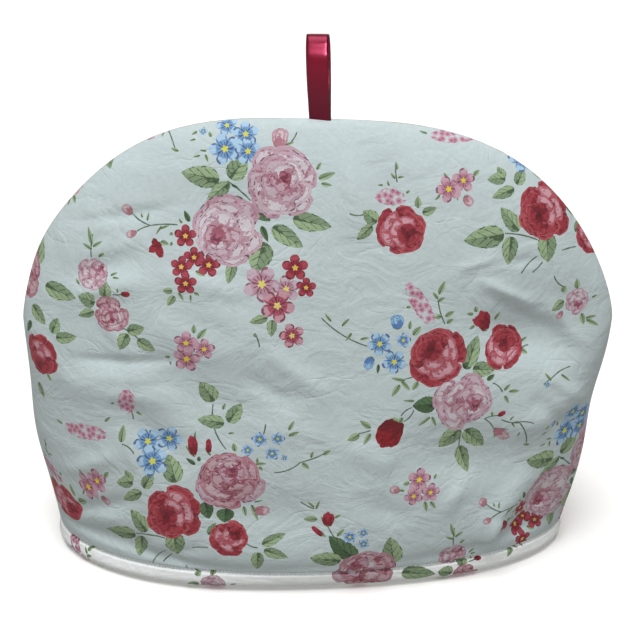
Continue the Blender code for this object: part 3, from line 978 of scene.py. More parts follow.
LEAF_INKS = {
    LeafInk.SAGE: ("#95AC88", "#748A6D", "#2F4329"),
    LeafInk.DARK: ("#536F4D", "#3A5334", "#1B2D22"),
    LeafInk.TWIG: ("#7A8D79", "#7A8D79", "#445649"),
}
FLOWER_INKS = {
    FlowerInk.BLUE: ("#ACCBE2", "#739BC5", "#273E75", "#CDCD55"),
    FlowerInk.RED: ("#A24453", "#8F2A3A", "#4C0D1B", "#D8BA59"),
    FlowerInk.PINK: ("#C3B1BE", "#B58EA0", "#752A46", "#DCD071"),
    FlowerInk.DAISY: ("#C1A0AF", "#B48094", "#6B314C", "#DCC937"),
    FlowerInk.ROSY: ("#C099A6", "#A45063", "#62182F", "#DCCB77"),
    FlowerInk.PALE: ("#C6AAB8", "#B6879B", "#88405D", "#A5354F"),
}
PETAL_INKS = {
    PetalInk.PINK_OUTER: ("#B490A0", "#C0ADB8", "#985F71", "#4A3B51"),
    PetalInk.PINK_MIDDLE: ("#B796A6", "#C8C1C9", "#9B6374", "#4A3043"),
    PetalInk.PINK_INNER: ("#AE7E91", "#BB9FAC", "#914359", "#542035"),
    PetalInk.PINK_HEART: ("#9A546A", "#A46275", "#6B253C", "#46142B"),
    PetalInk.RED_OUTER: ("#AC525B", "#9D3843", "#711A26", "#480E1D"),
    PetalInk.RED_MIDDLE: ("#A3434E", "#922D39", "#661523", "#440A17"),
    PetalInk.RED_INNER: ("#983844", "#892432", "#5D0F1B", "#400816"),
    PetalInk.RED_HEART: ("#761624", "#741320", "#490A15", "#37070E"),
    PetalInk.RED_LIGHT: ("#A84854", "#C495A1", "#9B404C", "#531624"),
    PetalInk.ROSY_OUTER: ("#AB7886", "#BD9FA9", "#873A4A", "#4F2239"),
    PetalInk.ROSY_MIDDLE: ("#A97280", "#C3ACB5", "#7F3544", "#4F1A2E"),
    PetalInk.BUD_PINK: ("#B58D9A", "#C7B9C0", "#A16272", "#6C3043"),
    PetalInk.BUD_RED: ("#A13845", "#9A2D3B", "#6C1423", "#4B0C18"),
    PetalInk.BUD_DARK: ("#8B1B27", "#83131F", "#5C0B16", "#3D0813"),
    PetalInk.BUD_BLUE: ("#79A3CD", "#96BED8", "#486FAB", "#2A3982"),
    PetalInk.PINK_PALE: ("#C1AAB5", "#CEC8D0", "#A87C8B", "#564358"),
}


@dataclass(frozen=True)
class Rose:
    """A full rose: rings of broad petals closing on a heart set off its middle."""

    s: float
    t: float
    heart_s: float
    heart_t: float
    radius: float
    inks: tuple[tuple[PetalInk, PetalInk], ...]
    light: PetalInk | None
    reach: tuple[float, ...] = (1.06, 0.86, 0.64, 0.41, 0.19)
    shift: tuple[float, ...] = (0.0, 0.30, 0.62, 0.88, 1.0)
    count: tuple[int, ...] = (6, 5, 4, 3, 2)
    broad: tuple[float, ...] = (1.00, 1.10, 1.08, 1.0, 0.8)
    root: tuple[float, ...] = (0.30, 0.18, 0.06, -0.14, -0.45)

    def shapes(self, chance: np.random.Generator) -> list[Shape]:
        """The petals, outer ring first, every second one before the rest, in two tones a ring.

        Args:
            chance: seeded source of the small differences between petals.

        Returns:
            One shape a petal.
        """
        shapes = []
        away = math.atan2(self.t - self.heart_t, self.s - self.heart_s)
        for ring, (reach, shift, count) in enumerate(zip(self.reach, self.shift, self.count)):
            start = chance.uniform(0.0, math.tau)
            middle_s = self.s + (self.heart_s - self.s) * shift
            middle_t = self.t + (self.heart_t - self.t) * shift
            for petal in (*range(0, count, 2), *range(1, count, 2)):
                angle = start + math.tau * (petal + chance.uniform(-0.2, 0.2)) / count
                tip = self.radius * reach * chance.uniform(0.88, 1.05)
                root = tip * self.root[ring]
                broad = tip * math.sin(math.pi / count) * chance.uniform(0.88, 1.12) * self.broad[ring]
                turn = angle + chance.uniform(-0.28, 0.28)
                ink = self.inks[ring][int(chance.uniform(0.0, 2.0))]
                if self.light is not None and ring in (1, 2) and math.cos(angle - away) > 0.05:
                    ink = self.light
                shapes.append(
                    Shape(
                        Family.PETAL,
                        middle_s + math.cos(angle) * root,
                        middle_t + math.sin(angle) * root,
                        math.cos(turn) * (tip - root),
                        math.sin(turn) * (tip - root),
                        min(broad, tip * 0.92),
                        0.0,
                        1.0,
                        1.0,
                        ink,
                        chance.uniform(0.1, 0.9),
                    )
                )
        return shapes


ROSES = {
    Motif.PINK_ROSE: (
        (PetalInk.PINK_OUTER, PetalInk.PINK_MIDDLE),
        (PetalInk.PINK_MIDDLE, PetalInk.PINK_PALE),
        (PetalInk.PINK_PALE, PetalInk.PINK_OUTER),
        (PetalInk.PINK_MIDDLE, PetalInk.PINK_INNER),
        (PetalInk.PINK_HEART, PetalInk.PINK_HEART),
    ),
    Motif.RED_ROSE: (
        (PetalInk.RED_OUTER, PetalInk.RED_MIDDLE),
        (PetalInk.RED_OUTER, PetalInk.RED_OUTER),
        (PetalInk.RED_MIDDLE, PetalInk.RED_OUTER),
        (PetalInk.RED_INNER, PetalInk.RED_MIDDLE),
        (PetalInk.RED_HEART, PetalInk.RED_HEART),
    ),
    Motif.ROSY_ROSE: (
        (PetalInk.ROSY_OUTER, PetalInk.PINK_OUTER),
        (PetalInk.ROSY_MIDDLE, PetalInk.ROSY_OUTER),
        (PetalInk.ROSY_OUTER, PetalInk.PINK_MIDDLE),
        (PetalInk.PINK_INNER, PetalInk.ROSY_MIDDLE),
        (PetalInk.PINK_HEART, PetalInk.PINK_HEART),
    ),
}
BUDS = {
    Motif.PINK_BUD: PetalInk.BUD_PINK,
    Motif.RED_BUD: PetalInk.BUD_RED,
    Motif.DARK_BUD: PetalInk.BUD_DARK,
    Motif.BLUE_BUD: PetalInk.BUD_BLUE,
}
FLOWERS = {
    Motif.BLUE_FLOWER: FlowerInk.BLUE,
    Motif.RED_FLOWER: FlowerInk.RED,
    Motif.PINK_FLOWER: FlowerInk.PINK,
    Motif.DAISY: FlowerInk.DAISY,
    Motif.ROSY_FLOWER: FlowerInk.ROSY,
}


@dataclass(frozen=True)
class Print:
    """The cloth's print: a chart of ordinary flowers and leaves, in a half-drop repeat."""

    chart: tuple[tuple[Motif, float, float, float, float, float], ...]
    across: float = 212.5
    drop: float = 178.0
    seed: int = 7

    def shapes(self) -> list[Shape]:
        """Every shape of one repeat, in printing order.

        Returns:
            The shapes.
        """
        chance = np.random.default_rng(self.seed)
        shapes = []
        for kind, s, t, end_s, end_t, size in self.chart:
            run_s, run_t = end_s - s, end_t - t
            length = max(math.hypot(run_s, run_t), 0.5)
            phase = float(chance.uniform(0.1, 0.9))
            if kind is Motif.STEM:
                bow = abs(size) + 0.6
                bent = 0.5 + size / 40.0
                shapes.append(Shape(Family.STEM, s, t, run_s, run_t, 1.0, 0.0, 1.0, bow, LeafInk.TWIG, bent))
            elif kind in (Motif.LEAF, Motif.DARK_LEAF):
                ink = LeafInk.DARK if kind is Motif.DARK_LEAF else LeafInk.SAGE
                shapes.append(Shape(Family.LEAF, s, t, run_s, run_t, max(size, 0.7), 0.0, 1.0, 1.0, ink, phase))
            elif kind is Motif.FLORETS:
                shapes.append(Shape(Family.FLORETS, s, t, run_s, run_t, size, -1.1, 1.1, 1.1, FlowerInk.PALE, phase))
            elif kind in FLOWERS:
                shapes.append(
                    Shape(Family.FLOWER, s, t, run_s, run_t, length, -1.0, 1.0, 1.0, FLOWERS[kind], phase)
                )
            elif kind in BUDS:
                shapes += self.bud(s, t, run_s, run_t, size, BUDS[kind], chance)
            else:
                light = PetalInk.RED_LIGHT if kind is Motif.RED_ROSE else None
                shapes += Rose(s, t, end_s, end_t, size, ROSES[kind], light).shapes(chance)
        return shapes

    def bud(
        self, s: float, t: float, run_s: float, run_t: float, half: float, ink: PetalInk, chance: np.random.Generator
    ) -> list[Shape]:
        """Three overlapping petals in a green cup.

        Args:
            s: the cup's place across.
            t: the cup's place up.
            run_s: from the cup to the tip, across.
            run_t: from the cup to the tip, up.
            half: half the bud's width.
            ink: the petals' ink.
            chance: seeded source of the petals' phases.

        Returns:
            The shapes.
        """
        length = math.hypot(run_s, run_t)
        left_s, left_t = -run_t / length * half, run_s / length * half
        shapes = []
        for side, share, broad in ((0.42, 0.90, 0.62), (-0.42, 0.93, 0.62), (0.05, 1.0, 0.66)):
            shapes.append(
                Shape(
                    Family.PETAL,
                    s + left_s * side * 0.9,
                    t + left_t * side * 0.9,
                    run_s * share,
                    run_t * share,
                    half * broad,
                    0.0,
                    1.0,
                    1.0,
                    ink,
                    float(chance.uniform(0.1, 0.9)),
                )
            )
        for side in (-0.5, 0.5):
            shapes.append(
                Shape(
                    Family.LEAF,
                    s - run_s * 0.06,
                    t - run_t * 0.06,
                    run_s * 0.42 + left_s * side * 1.5,
                    run_t * 0.42 + left_t * side * 1.5,
                    half * 0.3,
                    0.0,
                    1.0,
                    1.0,
                    LeafInk.SAGE,
                    0.5,
                )
            )
        return shapes

    def laid(self, sheet: Sheet, shift_s: float, shift_t: float) -> list[Shape]:
        """All shapes that reach a panel's cloth, with the repeat shifted.

        Args:
            sheet: the panel's outside.
            shift_s: how far the repeat is moved across.
            shift_t: how far the repeat is moved up.

        Returns:
            The shapes, in printing order.
        """
        low_s, high_s = sheet.s.min(), sheet.s.max()
        low_t, high_t = sheet.t.min(), sheet.t.max()
        laid = []
        one = self.shapes()
        for a in range(-3, 4):
            for b in range(-3, 4):
                move_s = (a + b) * self.across + shift_s
                move_t = (b - a) * self.drop + shift_t
                for shape in one:
                    s, t = shape.s + move_s, shape.t + move_t
                    reach = math.hypot(shape.axis_s, shape.axis_t) + shape.wide * shape.half
                    if low_s - reach < s < high_s + reach and low_t - reach < t < high_t + reach:
                        laid.append(replace(shape, s=s, t=t))
        return laid


@dataclass
class Layers:
    """Shapes sorted into layers so that a quad carries one shape a layer, later shapes higher."""

    sheet: Sheet
    shapes: list[Shape]
    empty: float = 9.0
    values: dict[Family, list[Array]] = field(default_factory=dict)

    def sort(self) -> None:
        """Gives each shape the lowest layer of its family that is clear of earlier shapes on its quads."""
        rows, columns = self.sheet.s.shape
        quads = grid_quads(rows, columns, 0, False)
        s = self.sheet.s.reshape(-1)[quads]
        t = self.sheet.t.reshape(-1)[quads]
        middle_s, middle_t = s.mean(axis=1), t.mean(axis=1)
        spread = np.hypot(s - middle_s[:, None], t - middle_t[:, None]).max(axis=1)
        top = {family: np.zeros(len(quads), np.int32) for family in Family}
        self.values = {family: [] for family in Family}
        for shape in self.shapes:
            length = math.hypot(shape.axis_s, shape.axis_t)
            near_u, near_v = shape.local(middle_s, middle_t)
            centre = (shape.low + shape.high) / 2
            out_u = (np.abs(near_u - centre) - (shape.high - shape.low) / 2) * length
            out_v = (np.abs(near_v) - shape.half) * shape.wide
            touched = (out_u < spread) & (out_v < spread)
            if shape.family in (Family.PETAL, Family.FLOWER):
                radius_u, radius_v = (shape.high - shape.low) / 2 * length, shape.half * shape.wide
                inflated = ((near_u - centre) * length / (radius_u * 1.06 + spread)) ** 2
                inflated = inflated + (near_v * shape.wide / (radius_v * 1.06 + spread)) ** 2
                touched &= inflated < 1.0
            index = np.nonzero(touched)[0]
            if not len(index):
                continue
            level = int(top[shape.family][index].max())
            top[shape.family][index] = level + 1
            stack = self.values[shape.family]
            if level == len(stack):
                blank = np.zeros((len(quads), 4, 4), np.float32)
                blank[..., :2] = self.empty
                stack.append(blank)
            u, v = shape.local(s[index], t[index])
            code = np.full(u.shape, int(shape.ink) + shape.phase)
            stack[level][index] = np.stack([u, v, code, np.full(u.shape, shape.wide)], axis=-1)


def linear(hex_text: str) -> tuple[float, float, float, float]:
    """Linear colour of an sRGB hex value: v / 12.92 below 0.04045, else ((v + 0.055) / 1.055) to the 2.4.

    Args:
        hex_text: such as "#C5D3D0".

    Returns:
        Red, green, blue and an alpha of 1.
    """
    shares = [int(hex_text[i : i + 2], 16) / 255 for i in (1, 3, 5)]
    red, green, blue = (v / 12.92 if v <= 0.04045 else ((v + 0.055) / 1.055) ** 2.4 for v in shares)
    return red, green, blue, 1.0


Tree = bpy.types.NodeTree
Socket = bpy.types.NodeSocket
Value = float | tuple[float, ...] | str


def add_node(tree: Tree, kind: str, settings: dict[str, object], inputs: dict[int | str, object]) -> bpy.types.Node:
    """Adds a shader node, sets its properties, and sets or links its inputs.

    Args:
        tree: the node tree.
        kind: the node's type without its "ShaderNode" prefix.
        settings: properties of the node.
        inputs: a value or an output socket for each named or numbered input.

    Returns:
        The node.
    """
    node = tree.nodes.new("ShaderNode" + kind)
    for name, value in settings.items():
        setattr(node, name, value)
    for name, value in inputs.items():
        if isinstance(value, bpy.types.NodeSocket):
            tree.links.new(value, node.inputs[name])
        else:
            node.inputs[name].default_value = value
    return node


def new_material(name: str) -> tuple[bpy.types.Material, bpy.types.Node]:
    """A material with its Principled shader and output.

    Args:
        name: the finish's plain name.

    Returns:
        The material and its Principled shader node.
    """
    material = bpy.data.materials.new(name)
    material.use_nodes = True
    return material, material.node_tree.nodes["Principled BSDF"]


Step = tuple[str, str, "str | float", "str | float", "str | float"]

STEM_STEPS: tuple[Step, ...] = (
    ("phase", "FRACT", "code", 0, 0),
    ("bow", "MULTIPLY_ADD", "phase", 40.0, -20.0),
    ("rest", "SUBTRACT", 1.0, "u", 0),
    ("hump", "MULTIPLY", "u", "rest", 0),
    ("high", "MULTIPLY", "bow", 4.0, 0),
    ("curve", "MULTIPLY", "high", "hump", 0),
    ("off", "SUBTRACT", "v", "curve", 0),
    ("far", "ABSOLUTE", "off", 0, 0),
    ("half", "MULTIPLY_ADD", "grain", 0.36, 0.22),
    ("thin", "LESS_THAN", "far", "half", 0),
    ("between", "GREATER_THAN", "hump", 0.0, 0),
    ("inside", "MULTIPLY", "thin", "between", 0),
    ("dark", "MULTIPLY", "grain", 1.3, 0),
)
LEAF_STEPS: tuple[Step, ...] = (
    ("phase", "FRACT", "code", 0, 0),
    ("far", "ABSOLUTE", "v", 0, 0),
    ("rise", "POWER", "u", 0.5, 0),
    ("rest", "SUBTRACT", 1.0, "u", 0),
    ("fall", "POWER", "rest", 0.85, 0),
    ("oval", "MULTIPLY", "rise", "fall", 0),
    ("tooth_run", "MULTIPLY_ADD", "u", 7.0, "phase"),
    ("tooth", "FRACT", "tooth_run", 0, 0),
    ("tooth_out", "MULTIPLY_ADD", "tooth", 0.22, 2.28),
    ("edge", "MULTIPLY", "oval", "tooth_out", 0),
    ("inside", "LESS_THAN", "far", "edge", 0),
    ("rib_far", "MULTIPLY", "far", "wide", 0),
    ("rib_half", "MULTIPLY_ADD", "u", -0.42, 0.42),
    ("rib", "LESS_THAN", "rib_far", "rib_half", 0),
    ("vein_run", "MULTIPLY_ADD", "far", -0.42, "u"),
    ("vein_turn", "MULTIPLY_ADD", "vein_run", 3.8, "phase"),
    ("vein_share", "FRACT", "vein_turn", 0, 0),
    ("vein_broken", "MULTIPLY_ADD", "grain", 0.46, -0.10),
    ("vein_line", "LESS_THAN", "vein_share", "vein_broken", 0),
    ("vein_end", "MULTIPLY", "edge", 0.74, 0),
    ("vein_in", "LESS_THAN", "far", "vein_end", 0),
    ("broad", "GREATER_THAN", "wide", 2.4, 0),
    ("vein_a", "MULTIPLY", "vein_line", "vein_in", 0),
    ("vein", "MULTIPLY", "vein_a", "broad", 0),
    ("lit", "MULTIPLY_ADD", "grain", 0.8, "v"),
    ("shady", "MULTIPLY_ADD", "lit", 4.0, -1.1),
    ("one_side", "GREATER_THAN", "v", 0.0, 0),
    ("root_grain", "MULTIPLY_ADD", "grain", 1.5, -0.26),
    ("root_end", "MULTIPLY_ADD", "u", -1.05, "root_grain"),
    ("root_under", "SUBTRACT", "root_end", "far", 0),
    ("root_soft", "MULTIPLY_ADD", "root_under", 7.0, 0.5),
    ("root_side", "MULTIPLY", "root_soft", "one_side", 0),
    ("root", "MULTIPLY", "root_side", "broad", 0),
    ("dash_run", "MULTIPLY_ADD", "u", 3.3, "phase"),
    ("dash_share", "FRACT", "dash_run", 0, 0),
    ("dash_line", "LESS_THAN", "dash_share", 0.42, 0),
    ("dash_from", "MULTIPLY", "edge", 0.86, 0),
    ("dash_out", "GREATER_THAN", "far", "dash_from", 0),
    ("dash_a", "MULTIPLY", "dash_line", "dash_out", 0),
    ("dash", "MULTIPLY", "dash_a", "broad", 0),
    ("lines", "MAXIMUM", "rib", "vein", 0),
    ("patches", "MAXIMUM", "root", "dash", 0),
    ("dark", "MAXIMUM", "lines", "patches", 0),
)
FLOWER_STEPS: tuple[Step, ...] = (
    ("phase", "FRACT", "code", 0, 0),
    ("swing", "MULTIPLY", "phase", 6.283, 0),
    ("turn", "ARCTAN2", "v", "u", 0),
    ("uu", "MULTIPLY", "u", "u", 0),
    ("rr", "MULTIPLY_ADD", "v", "v", "uu"),
    ("reach", "SQRT", "rr", 0, 0),
    ("five", "MULTIPLY", "turn", 2.5, 0),
    ("cosine", "COSINE", "five", 0, 0),
    ("lobe", "ABSOLUTE", "cosine", 0, 0),
    ("full", "POWER", "lobe", 0.50, 0),
    ("fuller", "MULTIPLY_ADD", "full", 0.58, 0.37),
    ("edge", "MULTIPLY_ADD", "grain", 0.12, "fuller"),
    ("inside", "LESS_THAN", "reach", "edge", 0),
    ("eye_edge", "MULTIPLY_ADD", "lobe", 0.10, 0.13),
    ("eye", "LESS_THAN", "reach", "eye_edge", 0),
    ("pale_out", "GREATER_THAN", "reach", 0.58, 0),
    ("pale_mid", "GREATER_THAN", "lobe", 0.62, 0),
    ("pale", "MULTIPLY", "pale_out", "pale_mid", 0),
    ("line_turn", "MULTIPLY", "turn", 12.5, 0),
    ("line_wave", "COSINE", "line_turn", 0, 0),
    ("line_on", "GREATER_THAN", "line_wave", 0.55, 0),
    ("line_end", "MULTIPLY_ADD", "grain", 0.5, 0.22),
    ("line_in", "LESS_THAN", "reach", "line_end", 0),
    ("line", "MULTIPLY", "line_on", "line_in", 0),
    ("tip_from", "MULTIPLY", "edge", 0.84, 0),
    ("tip_out", "GREATER_THAN", "reach", "tip_from", 0),
    ("tip_turn", "MULTIPLY_ADD", "turn", 4.0, "swing"),
    ("tip_wave", "SINE", "tip_turn", 0, 0),
    ("tip_on", "GREATER_THAN", "tip_wave", 0.62, 0),
    ("tip", "MULTIPLY", "tip_out", "tip_on", 0),
    ("gap", "LESS_THAN", "lobe", 0.24, 0),
    ("marks", "MAXIMUM", "line", "tip", 0),
    ("dark", "MAXIMUM", "marks", "gap", 0),
)
PETAL_STEPS: tuple[Step, ...] = (
    ("phase", "FRACT", "code", 0, 0),
    ("swing", "MULTIPLY", "phase", 6.283, 0),
    ("side", "MULTIPLY_ADD", "u", 2.0, -1.0),
    ("egg", "MULTIPLY_ADD", "u", 0.35, 0.72),
    ("broad", "DIVIDE", "v", "egg", 0),
    ("turn", "ARCTAN2", "broad", "side", 0),
    ("uu", "MULTIPLY", "side", "side", 0),
    ("rr", "MULTIPLY_ADD", "broad", "broad", "uu"),
    ("plain", "SQRT", "rr", 0, 0),
    ("slow_turn", "MULTIPLY_ADD", "turn", 3.0, "swing"),
    ("slow", "SINE", "slow_turn", 0, 0),
    ("quick_turn", "MULTIPLY_ADD", "turn", 8.0, "swing"),
    ("quick", "SINE", "quick_turn", 0, 0),
    ("ruffle", "MULTIPLY_ADD", "slow", 0.055, "plain"),
    ("reach", "MULTIPLY_ADD", "quick", 0.030, "ruffle"),
    ("inside", "LESS_THAN", "reach", 1.0, 0),
    ("rim_from", "MULTIPLY_ADD", "grain", 0.70, 0.47),
    ("rim_over", "SUBTRACT", "reach", "rim_from", 0),
    ("rim_soft", "MULTIPLY_ADD", "rim_over", 7.0, 0.5),
    ("rim_up", "GREATER_THAN", "u", 0.30, 0),
    ("rim", "MULTIPLY", "rim_soft", "rim_up", 0),
    ("root_wave", "MULTIPLY_ADD", "v", 4.0, "swing"),
    ("root_sine", "SINE", "root_wave", 0, 0),
    ("root_grain", "MULTIPLY_ADD", "grain", 1.1, -0.06),
    ("root_end", "MULTIPLY_ADD", "root_sine", 0.12, "root_grain"),
    ("root_under", "SUBTRACT", "root_end", "u", 0),
    ("root", "MULTIPLY_ADD", "root_under", 7.0, 0.5),
    ("lean_up", "COSINE", "swing", 0, 0),
    ("lean_side", "SINE", "swing", 0, 0),
    ("lean_v", "MULTIPLY", "v", "lean_side", 0),
    ("lean", "MULTIPLY_ADD", "side", "lean_up", "lean_v"),
    ("lean_grain", "MULTIPLY_ADD", "grain", 1.6, "lean"),
    ("patch", "MULTIPLY_ADD", "lean_grain", 5.0, -6.2),
    ("streak_turn", "MULTIPLY_ADD", "v", 9.0, "swing"),
    ("streak_wave", "SINE", "streak_turn", 0, 0),
    ("streak_on", "GREATER_THAN", "streak_wave", 0.86, 0),
    ("streak_end", "MULTIPLY_ADD", "grain", 1.3, 0.05),
    ("streak_in", "LESS_THAN", "u", "streak_end", 0),
    ("streak", "MULTIPLY", "streak_on", "streak_in", 0),
    ("arc_off", "SUBTRACT", "reach", 0.78, 0),
    ("arc_far", "ABSOLUTE", "arc_off", 0, 0),
    ("arc_half", "MULTIPLY_ADD", "grain", 0.26, -0.11),
    ("arc_in", "LESS_THAN", "arc_far", "arc_half", 0),
    ("arc_up", "GREATER_THAN", "side", 0.05, 0),
    ("arc", "MULTIPLY", "arc_in", "arc_up", 0),
    ("strokes", "MAXIMUM", "arc", "streak", 0),
    ("shade", "MAXIMUM", "root", "strokes", 0),
    ("line_out", "GREATER_THAN", "reach", 0.915, 0),
    ("line_turn", "MULTIPLY_ADD", "turn", 2.0, "swing"),
    ("line_wave", "SINE", "line_turn", 0, 0),
    ("line_on", "GREATER_THAN", "line_wave", 0.55, 0),
    ("dash_turn", "MULTIPLY", "turn", 11.0, 0),
    ("dash_wave", "SINE", "dash_turn", 0, 0),
    ("dash_on", "GREATER_THAN", "dash_wave", -0.3, 0),
    ("line_here", "MULTIPLY", "line_out", "line_on", 0),
    ("line", "MULTIPLY", "line_here", "dash_on", 0),
)


def add_steps(tree: Tree, known: dict[str, Socket], steps: tuple[Step, ...]) -> dict[str, Socket]:
    """Works a formula out in nodes: each step names its result, an operation and up to three terms.

    Args:
        tree: the node tree.
        known: sockets by name.
        steps: the formula, where a term is a number or the name of an earlier result.

    Returns:
        The known sockets with the results added.
    """
    known = dict(known)
    for name, operation, *terms in steps:
        inputs = {i: known[term] if isinstance(term, str) else float(term) for i, term in enumerate(terms)}
        known[name] = add_node(tree, "Math", {"operation": operation}, inputs).outputs[0]
    return known


@dataclass(frozen=True)
class Satin:
    """Woven polyester satin ribbon, crimson: long floats give it a soft bright band across each bend."""

    body: str = "#40060D"
    gloss: str = "#FF6C98"
    roughness: float = 0.20
    ior: float = 1.65
    float_mm: float = 0.55
    edge_mm: float = 0.7

    def material(self) -> bpy.types.Material:
        """Builds the material: weft lines across the ribbon on its own UV map, in millimetres."""
        material, shader = new_material("red_satin")
        tree = material.node_tree
        place = add_node(tree, "UVMap", {"uv_map": "cloth"}, {}).outputs[0]
        parts = add_node(tree, "SeparateXYZ", {}, {0: place}).outputs
        turns = add_node(tree, "Math", {"operation": "MULTIPLY"}, {0: parts[1], 1: math.tau / self.float_mm}).outputs[0]
        lines = add_node(tree, "Math", {"operation": "SINE"}, {0: turns}).outputs[0]
        mottle = add_node(tree, "TexNoise", {}, {"Vector": place, "Scale": 0.35, "Detail": 3.0}).outputs[0]
        shade = add_node(tree, "MapRange", {}, {0: mottle, 3: 0.82, 4: 1.18}).outputs[0]
        far = add_node(tree, "Math", {"operation": "ABSOLUTE"}, {0: parts[0]}).outputs[0]
        side = add_node(tree, "MapRange", {}, {0: far, 1: 6.0 - 1.6 * self.edge_mm, 2: 6.0, 3: 1.0, 4: 0.35}).outputs[0]
        both = add_node(tree, "Math", {"operation": "MULTIPLY"}, {0: shade, 1: side}).outputs[0]
        paint = add_node(tree, "Mix", {"data_type": "RGBA", "blend_type": "MULTIPLY"}, {0: 1.0, 6: linear(self.body)})
        tree.links.new(both, paint.inputs[7])
        tree.links.new(paint.outputs[2], shader.inputs["Base Color"])
        bump = add_node(tree, "Bump", {}, {"Strength": 0.25, "Distance": 0.00006, "Height": lines}).outputs[0]
        tree.links.new(bump, shader.inputs["Normal"])
        shader.inputs["Roughness"].default_value = self.roughness
        shader.inputs["IOR"].default_value = self.ior
        shader.inputs["Specular Tint"].default_value = linear(self.gloss)
        shader.inputs["Anisotropic"].default_value = 0.5
        return material


@dataclass(frozen=True)
class PlainCotton:
    """Plain-woven cotton, unprinted: the panel's inner side, off-white and matt."""

    body: str = "#E6E6DF"
    thread_mm: float = 1.1

    def material(self) -> bpy.types.Material:
        """Builds the material on the flat-cloth attribute: a faint mottle and a basket of sines as its weave."""
        material, shader = new_material("plain_cotton")
        tree = material.node_tree
        place = add_node(tree, "Attribute", {"attribute_name": "cloth"}, {}).outputs["Vector"]
        mottle = add_node(tree, "TexNoise", {}, {"Vector": place, "Scale": 0.05, "Detail": 4.0}).outputs[0]
        shade = add_node(tree, "MapRange", {}, {0: mottle, 3: 0.93, 4: 1.05}).outputs[0]
        paint = add_node(tree, "Mix", {"data_type": "RGBA", "blend_type": "MULTIPLY"}, {0: 1.0, 6: linear(self.body)})
        tree.links.new(shade, paint.inputs[7])
        tree.links.new(paint.outputs[2], shader.inputs["Base Color"])
        tree.links.new(add_weave(tree, place, self.thread_mm), shader.inputs["Normal"])
        shader.inputs["Roughness"].default_value = 0.85
        return material


def add_weave(tree: Tree, place: Socket, thread_mm: float, normal: Socket | None = None) -> Socket:
    """Bump of a plain weave: sin(s) times sin(t), each with a period of two threads.

    Real threads are 0.35 mm apart, too fine to show, so the caller's spacing is coarser.

    Args:
        tree: the node tree.
        place: places on the flat cloth in millimetres.
        thread_mm: thread spacing.
        normal: the normal that the weave is laid on.

    Returns:
        The bumped normal.
    """
    parts = add_node(tree, "SeparateXYZ", {}, {0: place}).outputs
    waves = []
    for part in parts[:2]:
        turns = add_node(tree, "Math", {"operation": "MULTIPLY"}, {0: part, 1: math.pi / thread_mm}).outputs[0]
        waves.append(add_node(tree, "Math", {"operation": "SINE"}, {0: turns}).outputs[0])
    weave = add_node(tree, "Math", {"operation": "MULTIPLY"}, {0: waves[0], 1: waves[1]}).outputs[0]
    inputs = {"Strength": 0.08, "Distance": 0.0001, "Height": weave}
    if normal is not None:
        inputs["Normal"] = normal
    return add_node(tree, "Bump", {}, inputs).outputs[0]


